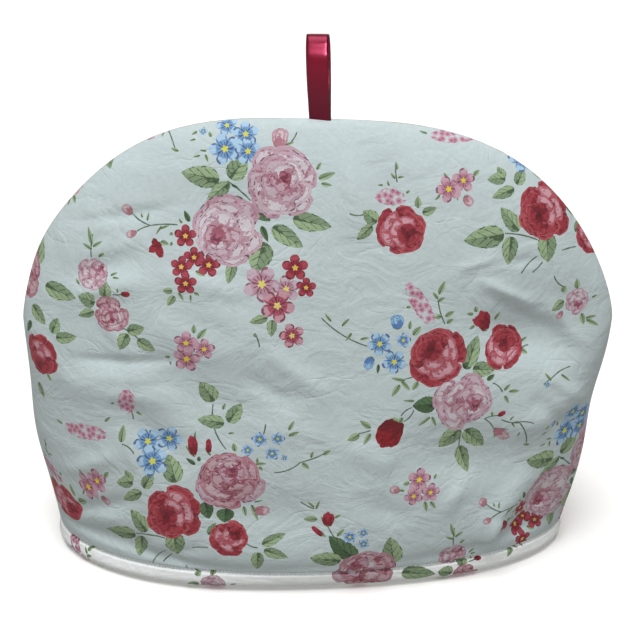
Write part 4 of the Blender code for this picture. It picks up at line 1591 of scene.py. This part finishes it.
@dataclass(frozen=True)
class PrintedCotton:
    """Printed plain-woven cotton: a cool off-white matt ground with a soft many-coloured print, a hem roll painted
    paler as painted light and a ditch line painted darker as painted shade.

    Each family of shapes is painted by one group, which reads a layer's frames from an attribute.
    """

    ground: str = "#BECCCF"
    # The hem roll's ground: painted light, a paler tone that makes the roll look lit.
    roll_painted_light: str = "#F4F9FB"
    # Painted shade: the darker tone of the thin scalloped line along the stitched ditch.
    ditch_painted_shade: str = "#8C9698"
    roll_below: float = -8.1
    pucker_mm: float = 2.2
    thread_mm: float = 1.1
    grain_mm: float = 2.6
    inks_most: int = 20

    def material(self, counts: dict[Family, int]) -> bpy.types.Material:
        """Builds the material.

        Args:
            counts: number of layers of each family.

        Returns:
            The material.
        """
        material, shader = new_material("printed_cotton")
        tree = material.node_tree
        place = add_node(tree, "Attribute", {"attribute_name": "cloth"}, {}).outputs["Vector"]
        noise = {"Vector": place, "Scale": 1.0 / self.grain_mm, "Detail": 2.0, "Roughness": 0.6}
        grain = add_node(tree, "TexNoise", {}, noise).outputs[0]
        mottle = add_node(tree, "TexNoise", {}, {"Vector": place, "Scale": 0.04, "Detail": 3.0}).outputs[0]
        light = add_node(tree, "MapRange", {}, {0: mottle, 3: 0.95, 4: 1.04}).outputs[0]
        along, _, level = add_node(tree, "SeparateXYZ", {}, {0: place}).outputs
        ditch = (
            ("turns", "MULTIPLY", "along", math.tau / self.pucker_mm, 0),
            ("pucker", "SINE", "turns", 0, 0),
            ("over", "SUBTRACT", "level", self.roll_below, 0),
            ("over_wave", "MULTIPLY_ADD", "pucker", 0.4, "over"),
            ("rolled", "LESS_THAN", "over_wave", 0.0, 0),
            ("line_far", "ABSOLUTE", "over_wave", 0, 0),
            ("line", "LESS_THAN", "line_far", 0.32, 0),
            ("near", "MULTIPLY", "over", 0.5, 0),
            ("near_square", "MULTIPLY", "near", "near", 0),
            ("near_fall", "MULTIPLY", "near_square", -1.0, 0),
            ("bell", "EXPONENT", "near_fall", 0, 0),
            ("gather", "MULTIPLY", "pucker", "bell", 0),
        )
        ditch = add_steps(tree, {"along": along, "level": level}, ditch)
        # Below roll_below the ground takes the roll's paler tone: painted light on the hem roll.
        under = add_node(tree, "Mix", {"data_type": "RGBA"}, {0: ditch["rolled"], 6: linear(self.ground)})
        under.inputs[7].default_value = linear(self.roll_painted_light)
        # A thin scalloped band at the ditch is darkened: painted shade in the stitched ditch.
        under = self.cover(tree, under.outputs[2], ((ditch["line"], 0.6, self.ditch_painted_shade),))
        multiply = {"data_type": "RGBA", "blend_type": "MULTIPLY"}
        under = add_node(tree, "Mix", multiply, {0: 1.0, 6: under, 7: light}).outputs[2]
        slub = add_node(tree, "MapRange", {}, {0: grain, 1: 0.25, 2: 0.75, 3: 0.945, 4: 1.045}).outputs[0]
        under = add_node(tree, "Mix", multiply, {0: 1.0, 6: under, 7: slub}).outputs[2]
        groups = {family: self.group(family) for family in Family}
        for family in Family:
            for number in range(counts[family]):
                frame_name = {"attribute_name": layer_name(family, number)}
                layer = add_node(tree, "Attribute", frame_name, {})
                inputs = {"Frame": layer.outputs["Vector"], "Wide": layer.outputs["Alpha"], "Grain": grain}
                if family is Family.FLORETS:
                    inputs["Cloth"] = place
                ink = add_node(tree, "Group", {"node_tree": groups[family]}, inputs)
                factor = {0: ink.outputs["Inside"], 6: under, 7: ink.outputs["Ink"]}
                under = add_node(tree, "Mix", {"data_type": "RGBA"}, factor).outputs[2]
        tree.links.new(under, shader.inputs["Base Color"])
        slack = {"Vector": place, "Scale": 0.035, "Detail": 5.0, "Roughness": 0.58, "Distortion": 0.8}
        slack = add_node(tree, "TexNoise", {}, slack).outputs[0]
        slack = add_node(tree, "Bump", {}, {"Strength": 0.8, "Distance": 0.0021, "Height": slack}).outputs[0]
        crease = {"Vector": place, "Scale": 0.021, "Detail": 2.0, "Distortion": 1.4}
        crease = add_node(tree, "TexNoise", {}, crease).outputs[0]
        line = (
            ("off", "SUBTRACT", "noise", 0.5, 0),
            ("far", "ABSOLUTE", "off", 0, 0),
            ("valley", "MINIMUM", "far", 0.035, 0),
        )
        valley = add_steps(tree, {"noise": crease}, line)["valley"]
        worn = add_node(tree, "MapRange", {}, {0: mottle, 1: 0.42, 2: 0.62, 3: 0.0, 4: 0.7}).outputs[0]
        crease = {"Strength": worn, "Distance": 0.0075, "Height": valley, "Normal": slack}
        slack = add_node(tree, "Bump", {}, crease).outputs[0]
        gather = {"Strength": 0.7, "Distance": 0.0004, "Height": ditch["gather"], "Normal": slack}
        gather = add_node(tree, "Bump", {}, gather).outputs[0]
        tree.links.new(add_weave(tree, place, self.thread_mm, gather), shader.inputs["Normal"])
        shader.inputs["Roughness"].default_value = 0.8
        return material

    def group(self, family: Family) -> Tree:
        """The group that paints one layer of a family.

        Args:
            family: the family.

        Returns:
            A group with the inputs Frame, Wide, Grain (and Cloth) and the outputs Ink and Inside.
        """
        tree = bpy.data.node_groups.new(f"{family.name.lower()}_paint", "ShaderNodeTree")
        sockets = tree.interface
        sockets.new_socket("Frame", in_out="INPUT", socket_type="NodeSocketVector")
        for name in ("Wide", "Grain"):
            sockets.new_socket(name, in_out="INPUT", socket_type="NodeSocketFloat")
        if family is Family.FLORETS:
            sockets.new_socket("Cloth", in_out="INPUT", socket_type="NodeSocketVector")
        sockets.new_socket("Ink", in_out="OUTPUT", socket_type="NodeSocketColor")
        sockets.new_socket("Inside", in_out="OUTPUT", socket_type="NodeSocketFloat")
        ends = tree.nodes.new("NodeGroupInput").outputs
        parts = add_node(tree, "SeparateXYZ", {}, {0: ends["Frame"]}).outputs
        known = {"u": parts[0], "v": parts[1], "code": parts[2], "wide": ends["Wide"], "grain": ends["Grain"]}
        painters = {
            Family.STEM: self.paint_stem,
            Family.LEAF: self.paint_leaf,
            Family.FLORETS: self.paint_florets,
            Family.FLOWER: self.paint_flower,
            Family.PETAL: self.paint_petal,
        }
        if family is Family.FLORETS:
            known["cloth"] = ends["Cloth"]
        ink, inside = painters[family](tree, known)
        out = tree.nodes.new("NodeGroupOutput")
        tree.links.new(ink, out.inputs["Ink"])
        tree.links.new(inside, out.inputs["Inside"])
        return tree

    def inks(self, tree: Tree, code: Socket, table: dict[IntEnum, tuple[str, ...]]) -> list[Socket]:
        """Picks each tone of the ink whose number is the whole part of code, by ramps with hard steps.

        Args:
            tree: the node tree.
            code: ink number plus a phase.
            table: tones of each ink.

        Returns:
            One colour socket a tone.
        """
        share = add_node(tree, "Math", {"operation": "DIVIDE"}, {0: code, 1: float(self.inks_most)}).outputs[0]
        tones = []
        for tone in range(len(next(iter(table.values())))):
            ramp = add_node(tree, "ValToRGB", {}, {0: share})
            ramp.color_ramp.interpolation = "CONSTANT"
            stops = ramp.color_ramp.elements
            stops.remove(stops[1])
            for ink, hexes in table.items():
                stop = stops[0] if ink == 0 else stops.new(ink / self.inks_most)
                stop.position = ink / self.inks_most
                stop.color = linear(hexes[tone])
            tones.append(ramp.outputs[0])
        return tones

    def cover(self, tree: Tree, start: Socket, coats: tuple[tuple[Socket, float, Socket | str], ...]) -> Socket:
        """Lays coats of ink over a colour.

        Args:
            tree: the node tree.
            start: the first colour.
            coats: where each coat lies, its strength, and its colour.

        Returns:
            The last colour.
        """
        for where, strength, ink in coats:
            factor = add_node(tree, "Math", {"operation": "MINIMUM"}, {0: where, 1: strength}).outputs[0]
            over = linear(ink) if isinstance(ink, str) else ink
            start = add_node(tree, "Mix", {"data_type": "RGBA"}, {0: factor, 6: start, 7: over}).outputs[2]
        return start

    def paint_stem(self, tree: Tree, known: dict[str, Socket]) -> tuple[Socket, Socket]:
        """A bowed line 0.5 mm wide, its width and darkness varied by the grain."""
        known = add_steps(tree, known, STEM_STEPS)
        light, _, dark = self.inks(tree, known["code"], LEAF_INKS)
        return self.cover(tree, light, ((known["dark"], 1.0, dark),)), known["inside"]

    def paint_leaf(self, tree: Tree, known: dict[str, Socket]) -> tuple[Socket, Socket]:
        """A pointed toothed leaf: one half shadier, dark rib, side veins, root and edge dashes."""
        known = add_steps(tree, known, LEAF_STEPS)
        light, half, dark = self.inks(tree, known["code"], LEAF_INKS)
        coats = ((known["shady"], 0.8, half), (known["dark"], 0.8, dark))
        return self.cover(tree, light, coats), known["inside"]

    def paint_flower(self, tree: Tree, known: dict[str, Socket]) -> tuple[Socket, Socket]:
        """Five round petals with paler tips, dark lines and edge marks round a yellow eye."""
        known = add_steps(tree, known, FLOWER_STEPS)
        light, body, dark, eye = self.inks(tree, known["code"], FLOWER_INKS)
        coats = ((known["pale"], 0.85, light), (known["dark"], 0.8, dark), (known["eye"], 1.0, eye))
        return self.cover(tree, body, coats), known["inside"]

    def paint_florets(self, tree: Tree, known: dict[str, Socket]) -> tuple[Socket, Socket]:
        """Massed florets: cells 3.4 mm apart, each a small flower, within a ragged oval."""
        cells = {"Vector": known["cloth"], "Scale": 1.0 / 3.4, "Randomness": 0.75}
        cell = add_node(tree, "TexVoronoi", {"voronoi_dimensions": "2D"}, cells)
        away = add_node(tree, "VectorMath", {"operation": "SUBTRACT"}, {0: known["cloth"], 1: cell.outputs["Position"]})
        parts = add_node(tree, "SeparateXYZ", {}, {0: away.outputs[0]}).outputs
        scaled = [add_node(tree, "Math", {"operation": "DIVIDE"}, {0: part, 1: 2.3}).outputs[0] for part in parts[:2]]
        flower = add_steps(tree, {**known, "u": scaled[0], "v": scaled[1]}, FLOWER_STEPS)
        oval = add_steps(
            tree,
            known,
            (
                ("uu", "MULTIPLY", "u", "u", 0),
                ("rr", "MULTIPLY_ADD", "v", "v", "uu"),
                ("ragged", "MULTIPLY_ADD", "grain", 1.2, 0.35),
                ("mass", "LESS_THAN", "rr", "ragged", 0),
            ),
        )
        inside = add_node(tree, "Math", {"operation": "MULTIPLY"}, {0: flower["inside"], 1: oval["mass"]}).outputs[0]
        light, body, dark, eye = self.inks(tree, known["code"], FLOWER_INKS)
        coats = ((flower["pale"], 0.85, light), (flower["gap"], 0.8, dark), (flower["eye"], 1.0, eye))
        return self.cover(tree, body, coats), inside

    def paint_petal(self, tree: Tree, known: dict[str, Socket]) -> tuple[Socket, Socket]:
        """A ruffled egg shape: a rim, a shaded root with streaks, and a broken line along its edge."""
        known = add_steps(tree, known, PETAL_STEPS)
        rim, body, shade, line = self.inks(tree, known["code"], PETAL_INKS)
        edge = ((known["rim"], 0.9, rim), (known["shade"], 0.85, shade), (known["line"], 0.85, line))
        coats = ((known["patch"], 0.5, shade), *edge)
        return self.cover(tree, body, coats), known["inside"]


def layer_name(family: Family, number: int) -> str:
    """Name of a layer's attribute."""
    return f"{family.name.lower()}_{number}"


FRONT_FOLDS = (
    Fold(66, 168, 204, 160, 24, -3.4),
    Fold(40, 92, 128, 82, 19, -2.0),
    Fold(-104, 240, 0, 224, 18, -1.5),
    Fold(-70, 60, 20, 52, 17, -1.4),
    Fold(-150, 176, -88, 197, 7, 1.3),
    Fold(-158, 188, -95, 208, 9, -1.2),
    Fold(-96, 150, -30, 104, 16, -1.2),
    Fold(-118, 184, -10, 156, 18, 1.5),
    Fold(-155, 128, -75, 126, 7, 1.0),
    Fold(-118, 122, -70, 84, 12, -1.5),
    Fold(18, 262, 22, 214, 9, 1.3),
    Fold(36, 260, 44, 218, 8, -1.1),
    Fold(95, 172, 160, 132, 12, -1.9),
    Fold(84, 190, 150, 160, 9, 1.2),
    Fold(108, 96, 160, 118, 10, 1.8),
    Fold(92, 22, 124, 72, 9, 1.7),
    Fold(110, 18, 142, 62, 9, -1.8),
    Fold(-146, 24, -96, 30, 9, -1.6),
    Fold(15, 271, 19, 235, 4.3, 0.9),
    Fold(30, 272, 36, 237, 5.6, -0.9),
    Fold(46, 270, 58, 239, 5, 0.7),
    Fold(-10, 271, -15, 262, 3.7, -0.5),
    Fold(-31, 157, 10, 126, 5.6, 0.8),
    Fold(-44, 144, -10, 122, 5, -0.8),
    Fold(76, 199, 101, 205, 2.5, 0.7),
    Fold(87, 194, 124, 174, 2.5, 0.8),
    Fold(89, 187, 141, 153, 3.7, -0.9),
    Fold(101, 201, 128, 200, 3.1, -0.6),
    Fold(129, 177, 156, 140, 4.3, 1),
    Fold(129, 135, 162, 100, 3.7, 0.9),
    Fold(121, 122, 161, 77, 5, -1),
    Fold(96, 14, 107, 43, 4.3, 1.4),
    Fold(113, 6, 125, 40, 5, -1.4),
    Fold(71, 49, 91, 79, 5, 0.6),
    Fold(-147, 216, -74, 235, 3.1, -1.1),
    Fold(-143, 196, -91, 218, 5, 1),
    Fold(-145, 143, -74, 150, 2.5, -0.9),
    Fold(-141, 134, -83, 139, 4.3, 0.7),
    Fold(-126, 179, -100, 141, 6.2, 0.7),
    Fold(-93, 183, -40, 160, 8.7, -1),
    Fold(-92, 199, -30, 187, 6.2, 0.9),
    Fold(-153, 64, -113, 90, 5, 0.9),
    Fold(-158, 33, -103, 62, 5, -1.1),
    Fold(-119, 9, -63, 36, 4.3, -0.8),
    Fold(6, 104, 47, 84, 7.4, 0.6),
    Fold(19, 66, 59, 50, 7.4, -0.7),
    Fold(-61, 116, 6, 104, 8.7, 0.5),
    Fold(138, 212, 161, 187, 3.7, -0.8),
    Fold(-133, 233, -109, 214, 5.6, 0.6),
)
FRONT_PULLS = (
    Pull(-130, 28, 34, -3, 9.5),
    Pull(-108, 4, 22, 0, 6),
    Pull(-156, 22, 24, -10, 3),
    Pull(150, 30, 44, 16, -3),
)
BACK_FOLDS = (
    Fold(-152, 150, -86, 180, 9, 1.3),
    Fold(-150, 100, -84, 118, 11, -1.6),
    Fold(-60, 252, -52, 206, 9, 1.2),
    Fold(-20, 190, 60, 160, 17, -1.7),
    Fold(20, 140, 96, 116, 14, 1.4),
    Fold(100, 178, 156, 150, 9, 1.2),
    Fold(92, 96, 150, 82, 10, -1.4),
    Fold(-128, 20, -92, 68, 9, 1.5),
    Fold(104, 20, 130, 58, 9, -1.5),
)


@dataclass
class PaddedPanel:
    """One padded wall of the cosy: printed outside, plain inside, with its turned and stitched hem."""

    name: str
    node: str
    shape: PanelShape
    turned: bool
    shift: tuple[float, float]
    gap: float = 0.0002
    sheet: Sheet = field(init=False)
    layers: Layers = field(init=False)

    def lay_print(self, cloth_print: Print) -> dict[Family, int]:
        """Works out the outside and lays the print on it.

        Args:
            cloth_print: the print.

        Returns:
            How many layers of each family it takes.
        """
        self.sheet = self.shape.outside()
        self.layers = Layers(self.sheet, cloth_print.laid(self.sheet, *self.shift))
        self.layers.sort()
        counts = {family: len(stack) for family, stack in self.layers.values.items()}
        LOG.info("%s: %d shapes, layers %s", self.name, len(self.layers.shapes), list(counts.values()))
        return counts

    def build(
        self, finishes: tuple[bpy.types.Material, bpy.types.Material], counts: dict[Family, int]
    ) -> bpy.types.Object:
        """Builds the closed shell and dresses it.

        The outside and the wall's inner face are grids of one size, joined by strips along the seam and foot.

        Args:
            finishes: the printed and the plain cotton.
            counts: how many layers of each family the printed cotton paints.

        Returns:
            The panel.
        """
        sheet = self.sheet
        inner = self.shape.inside(sheet)
        rows, columns = sheet.x.shape
        outer_points = np.stack([sheet.x, sheet.y, sheet.z], axis=-1).reshape(-1, 3)
        inner_points = np.stack(inner, axis=-1).reshape(-1, 3)
        points = np.concatenate([outer_points, inner_points])
        points[:, 1] = points[:, 1] - self.gap
        if self.turned:
            points[:, :2] = -points[:, :2]
        count = rows * columns
        ring = np.arange(count).reshape(rows, columns)
        faces = [grid_quads(rows, columns, 0, False), grid_quads(rows, columns, count, True)]
        edge = np.concatenate([ring[:, -1], ring[-1, -2::-1], ring[-2::-1, 0]])
        faces.append(strip_quads(edge, edge + count))
        faces.append(strip_quads(ring[0], ring[0] + count))
        piece = new_mesh_object(self.name, points, np.concatenate(faces))
        mesh = piece.data
        kinds = np.repeat([0, 1, 2, 3], [len(part) for part in faces])
        sharpen(mesh, kinds)
        for finish in finishes:
            mesh.materials.append(finish)
        mesh.polygons.foreach_set("material_index", np.isin(kinds, [1, 2]).astype(np.int32))
        cloth = np.stack([sheet.s, sheet.t, sheet.level], axis=-1).reshape(-1, 3)
        layer = mesh.attributes.new("cloth", "FLOAT_VECTOR", "POINT")
        layer.data.foreach_set("vector", np.concatenate([cloth, cloth]).astype(np.float32).reshape(-1))
        for family, stack in self.layers.values.items():
            for number in range(counts[family]):
                frames = np.full((len(mesh.polygons), 4, 4), self.layers.empty, np.float32)
                if number < len(stack):
                    frames[: len(faces[0])] = stack[number]
                layer = mesh.attributes.new(layer_name(family, number), "FLOAT_COLOR", "CORNER")
                layer.data.foreach_set("color", frames.reshape(-1))
        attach(piece, "root")
        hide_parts(self.node)
        LOG.info("%s: %d faces", self.name, len(mesh.polygons))
        return piece


@dataclass
class RibbonLoop:
    """Narrow satin ribbon folded double and caught in the top seam, leaning a little back and to the left."""

    width: float = 0.012
    thick: float = 0.00055
    height: float = 0.0478
    half: float = 0.007
    crown: float = 0.014
    bulge: float = 1.4
    tail: float = 0.009
    seat: tuple[float, float, float] = (0.0012, 0.0, 0.2745)
    turn: tuple[float, float, float] = (math.radians(-3.0), math.radians(-1.8), math.radians(-6.0))
    along: int = 150
    across: int = 12

    def path(self) -> tuple[Array, Array]:
        """The ribbon's middle line in its own plane, from one tail to the other.

        Each leg's half gap grows as half * sin(...) ** bulge, and half an ellipse closes the top.

        Returns:
            Depth from the middle plane and height.
        """
        crown = self.height - self.crown
        rise = np.linspace(0.0, 1.0, 60)
        skin = self.thick / 2
        gap = 0.0004 + skin + (self.half - 2 * skin - 0.0004) * np.sin(rise * math.pi / 2) ** self.bulge
        turn = np.linspace(0.0, math.pi, 60)[1:-1]
        reach = gap[-1]
        depth = np.concatenate([[gap[0]], gap, np.cos(turn) * reach, -gap[::-1], [-gap[0]]])
        height = np.concatenate(
            [[-self.tail], crown * rise, crown + np.sin(turn) * (self.crown - skin), crown * rise[::-1], [-self.tail]]
        )
        return depth, height

    def build(self, finish: bpy.types.Material) -> bpy.types.Object:
        """Builds the closed ribbon: a rounded flat section carried along the path.

        Args:
            finish: the satin.

        Returns:
            The ribbon.
        """
        depth, height = self.path()
        length = np.concatenate([[0.0], np.cumsum(np.hypot(np.diff(depth), np.diff(height)))])
        even = np.linspace(0.0, length[-1], self.along)
        depth, height = np.interp(even, length, depth), np.interp(even, length, height)
        run = np.stack([np.gradient(depth), np.gradient(height)])
        run = run / np.linalg.norm(run, axis=0)
        side = np.linspace(-1.0, 1.0, self.across + 1)
        ring_x = np.concatenate([side, side[::-1]]) * self.width / 2
        lift = np.sqrt(np.clip(1.0 - np.abs(side) ** 8, 0.06, 1.0)) * self.thick / 2
        ring_n = np.concatenate([lift, -lift[::-1]])
        x = ring_x[None, :] + 0.0 * even[:, None]
        y = depth[:, None] + run[1][:, None] * ring_n
        z = height[:, None] - run[0][:, None] * ring_n
        count = len(ring_x)
        points = np.stack([x, y, z], axis=-1).reshape(-1, 3)
        points = points @ self.turning().T + np.array(self.seat)
        index = np.arange(self.along * count).reshape(self.along, count)
        wrapped = np.concatenate([index, index[:, :1]], axis=1)
        walls = np.stack([wrapped[:-1, :-1], wrapped[:-1, 1:], wrapped[1:, 1:], wrapped[1:, :-1]], -1).reshape(-1, 4)
        half = self.across + 1
        ends = [strip_quads(index[0, :half], index[0, half:][::-1]), strip_quads(index[-1, half:][::-1], index[-1, :half])]
        piece = new_mesh_object("ribbon", points, np.concatenate([walls, *ends])[:, ::-1])
        mesh = piece.data
        mesh.materials.append(finish)
        uv = np.stack([x, 0.0 * x + even[:, None]], axis=-1).reshape(-1, 2) / MM
        corner = np.empty(len(mesh.loops), np.int32)
        mesh.loops.foreach_get("vertex_index", corner)
        mesh.uv_layers.new(name="cloth").data.foreach_set("uv", uv[corner].astype(np.float32).reshape(-1))
        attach(piece, "root")
        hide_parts("ribbon_loop")
        LOG.info("ribbon: %d faces, %.0f mm long", len(mesh.polygons), length[-1] / MM)
        return piece

    def turning(self) -> Array:
        """The seat's turn about X, then Y, then Z, as a matrix."""
        a, b, c = self.turn
        about_x = np.array([[1, 0, 0], [0, math.cos(a), -math.sin(a)], [0, math.sin(a), math.cos(a)]])
        about_y = np.array([[math.cos(b), 0, math.sin(b)], [0, 1, 0], [-math.sin(b), 0, math.cos(b)]])
        about_z = np.array([[math.cos(c), -math.sin(c), 0], [math.sin(c), math.cos(c), 0], [0, 0, 1]])
        return about_z @ about_y @ about_x


@dataclass
class Studio:
    """Plain pale floor, soft lights and the camera at the photo's angle."""

    aim: tuple[float, float, float] = (0.00116, 0.0, 0.1488)
    elevation: float = math.radians(29.0)
    distance: float = 1.0
    lens_px: float = 1718.2

    def build(self) -> None:
        """Adds the floor, the world, the lights and the camera."""
        self.add_floor()
        self.add_world()
        self.add_light("softbox", (-0.06, -0.23, 1.0), math.radians(30.0), 2.46)
        self.add_light("window", (0.02, -1.0, 0.48), math.radians(36.0), 0.66)
        self.add_light("fill", (0.25, 1.0, 0.45), math.radians(60.0), 0.75)
        self.add_spot((0.0, -0.30, 0.45), (0.0012, 0.0, 0.3120), math.radians(8.0), 11.0)
        self.add_camera()

    def add_floor(self) -> None:
        """A level square of white paper, 0.2 mm under the hem, that throws no light back up, as if flagged."""
        corners = np.array([[-9, -9, 0], [9, -9, 0], [9, 9, 0], [-9, 9, 0]], float)
        corners[:, 2] = -0.0002
        floor = new_mesh_object("floor", corners, np.array([[0, 1, 2, 3]]))
        material, shader = new_material("white_paper")
        shader.inputs["Base Color"].default_value = linear("#FCFCFC")
        shader.inputs["Roughness"].default_value = 0.9
        floor.data.materials.append(material)
        floor.visible_diffuse = False

    def add_world(self) -> None:
        """An even, slightly warm sky."""
        world = bpy.data.worlds.new("studio")
        world.use_nodes = True
        sky = world.node_tree.nodes["Background"]
        sky.inputs["Color"].default_value = linear("#FFFAF1")
        sky.inputs["Strength"].default_value = 0.28
        bpy.context.scene.world = world
        bpy.context.scene.view_settings.view_transform = "Standard"

    def add_light(self, name: str, place: tuple[float, float, float], spread: float, power: float) -> None:
        """A soft distant light, which lights the cosy and all of the floor alike.

        Args:
            name: the light's name.
            place: a point on the line it shines along, towards the origin.
            spread: its apparent size as an angle.
            power: its power in watts per square metre.
        """
        lamp = bpy.data.lights.new(name, "SUN")
        lamp.angle = spread
        lamp.energy = power
        light = bpy.data.objects.new(name, lamp)
        bpy.context.scene.collection.objects.link(light)
        self.place(light, place, (0.0, 0.0, 0.0))

    def add_spot(self, spot: tuple[float, ...], aim: tuple[float, ...], cone: float, power: float) -> None:
        """A small soft spot that picks out the bend of the ribbon.

        Args:
            spot: where it hangs.
            aim: where it points.
            cone: full angle of its cone.
            power: its power in watts.
        """
        lamp = bpy.data.lights.new("ribbon_spot", "SPOT")
        lamp.spot_size = cone
        lamp.spot_blend = 0.4
        lamp.shadow_soft_size = 0.02
        lamp.energy = power
        light = bpy.data.objects.new("ribbon_spot", lamp)
        bpy.context.scene.collection.objects.link(light)
        self.place(light, spot, aim)

    def add_camera(self) -> None:
        """The camera, whose lens gives lens_px over a 640 px wide frame."""
        lens = bpy.data.cameras.new("camera")
        lens.sensor_width = 36.0
        lens.lens = self.lens_px / 640 * 36.0
        camera = bpy.data.objects.new("camera", lens)
        bpy.context.scene.collection.objects.link(camera)
        away = np.array([0.0, -math.cos(self.elevation), math.sin(self.elevation)]) * self.distance
        self.place(camera, tuple(np.array(self.aim) + away), self.aim)
        bpy.context.scene.camera = camera

    def place(self, thing: bpy.types.Object, spot: tuple[float, ...], aim: tuple[float, ...]) -> None:
        """Puts a light or the camera at spot, looking at aim with its top upwards."""
        back = np.array(spot) - np.array(aim)
        back = back / np.linalg.norm(back)
        right = np.cross([0.0, 0.0, 1.0], back)
        right = right / np.linalg.norm(right)
        up = np.cross(back, right)
        thing.matrix_world = np.block(
            [[np.stack([right, up, back], axis=1), np.array(spot)[:, None]], [np.zeros((1, 3)), np.ones((1, 1))]]
        ).T.tolist()


def main() -> None:
    """Builds the panels, the ribbon and the studio."""
    logging.basicConfig(level=logging.INFO, format="%(name)s: %(message)s")
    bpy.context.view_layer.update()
    arch, hem = Arch(), Hem()
    cloth_print = Print(CHART)
    front = PanelShape(arch, hem, 1, 0.09, FRONT_FOLDS, FRONT_PULLS)
    back = PanelShape(arch, hem, -1, 0.0, BACK_FOLDS)
    panels = (
        PaddedPanel("front_padded_panel", "front_panel", front, False, (0, 0)),
        PaddedPanel("back_padded_panel", "back_panel", back, True, (96, 40)),
    )
    laid = [panel.lay_print(cloth_print) for panel in panels]
    counts = {family: max(one[family] for one in laid) for family in Family}
    cottons = (PrintedCotton().material(counts), PlainCotton().material())
    for panel in panels:
        panel.build(cottons, counts)
    RibbonLoop().build(Satin().material())
    Studio().build()


if __name__ == "__main__":
    main()
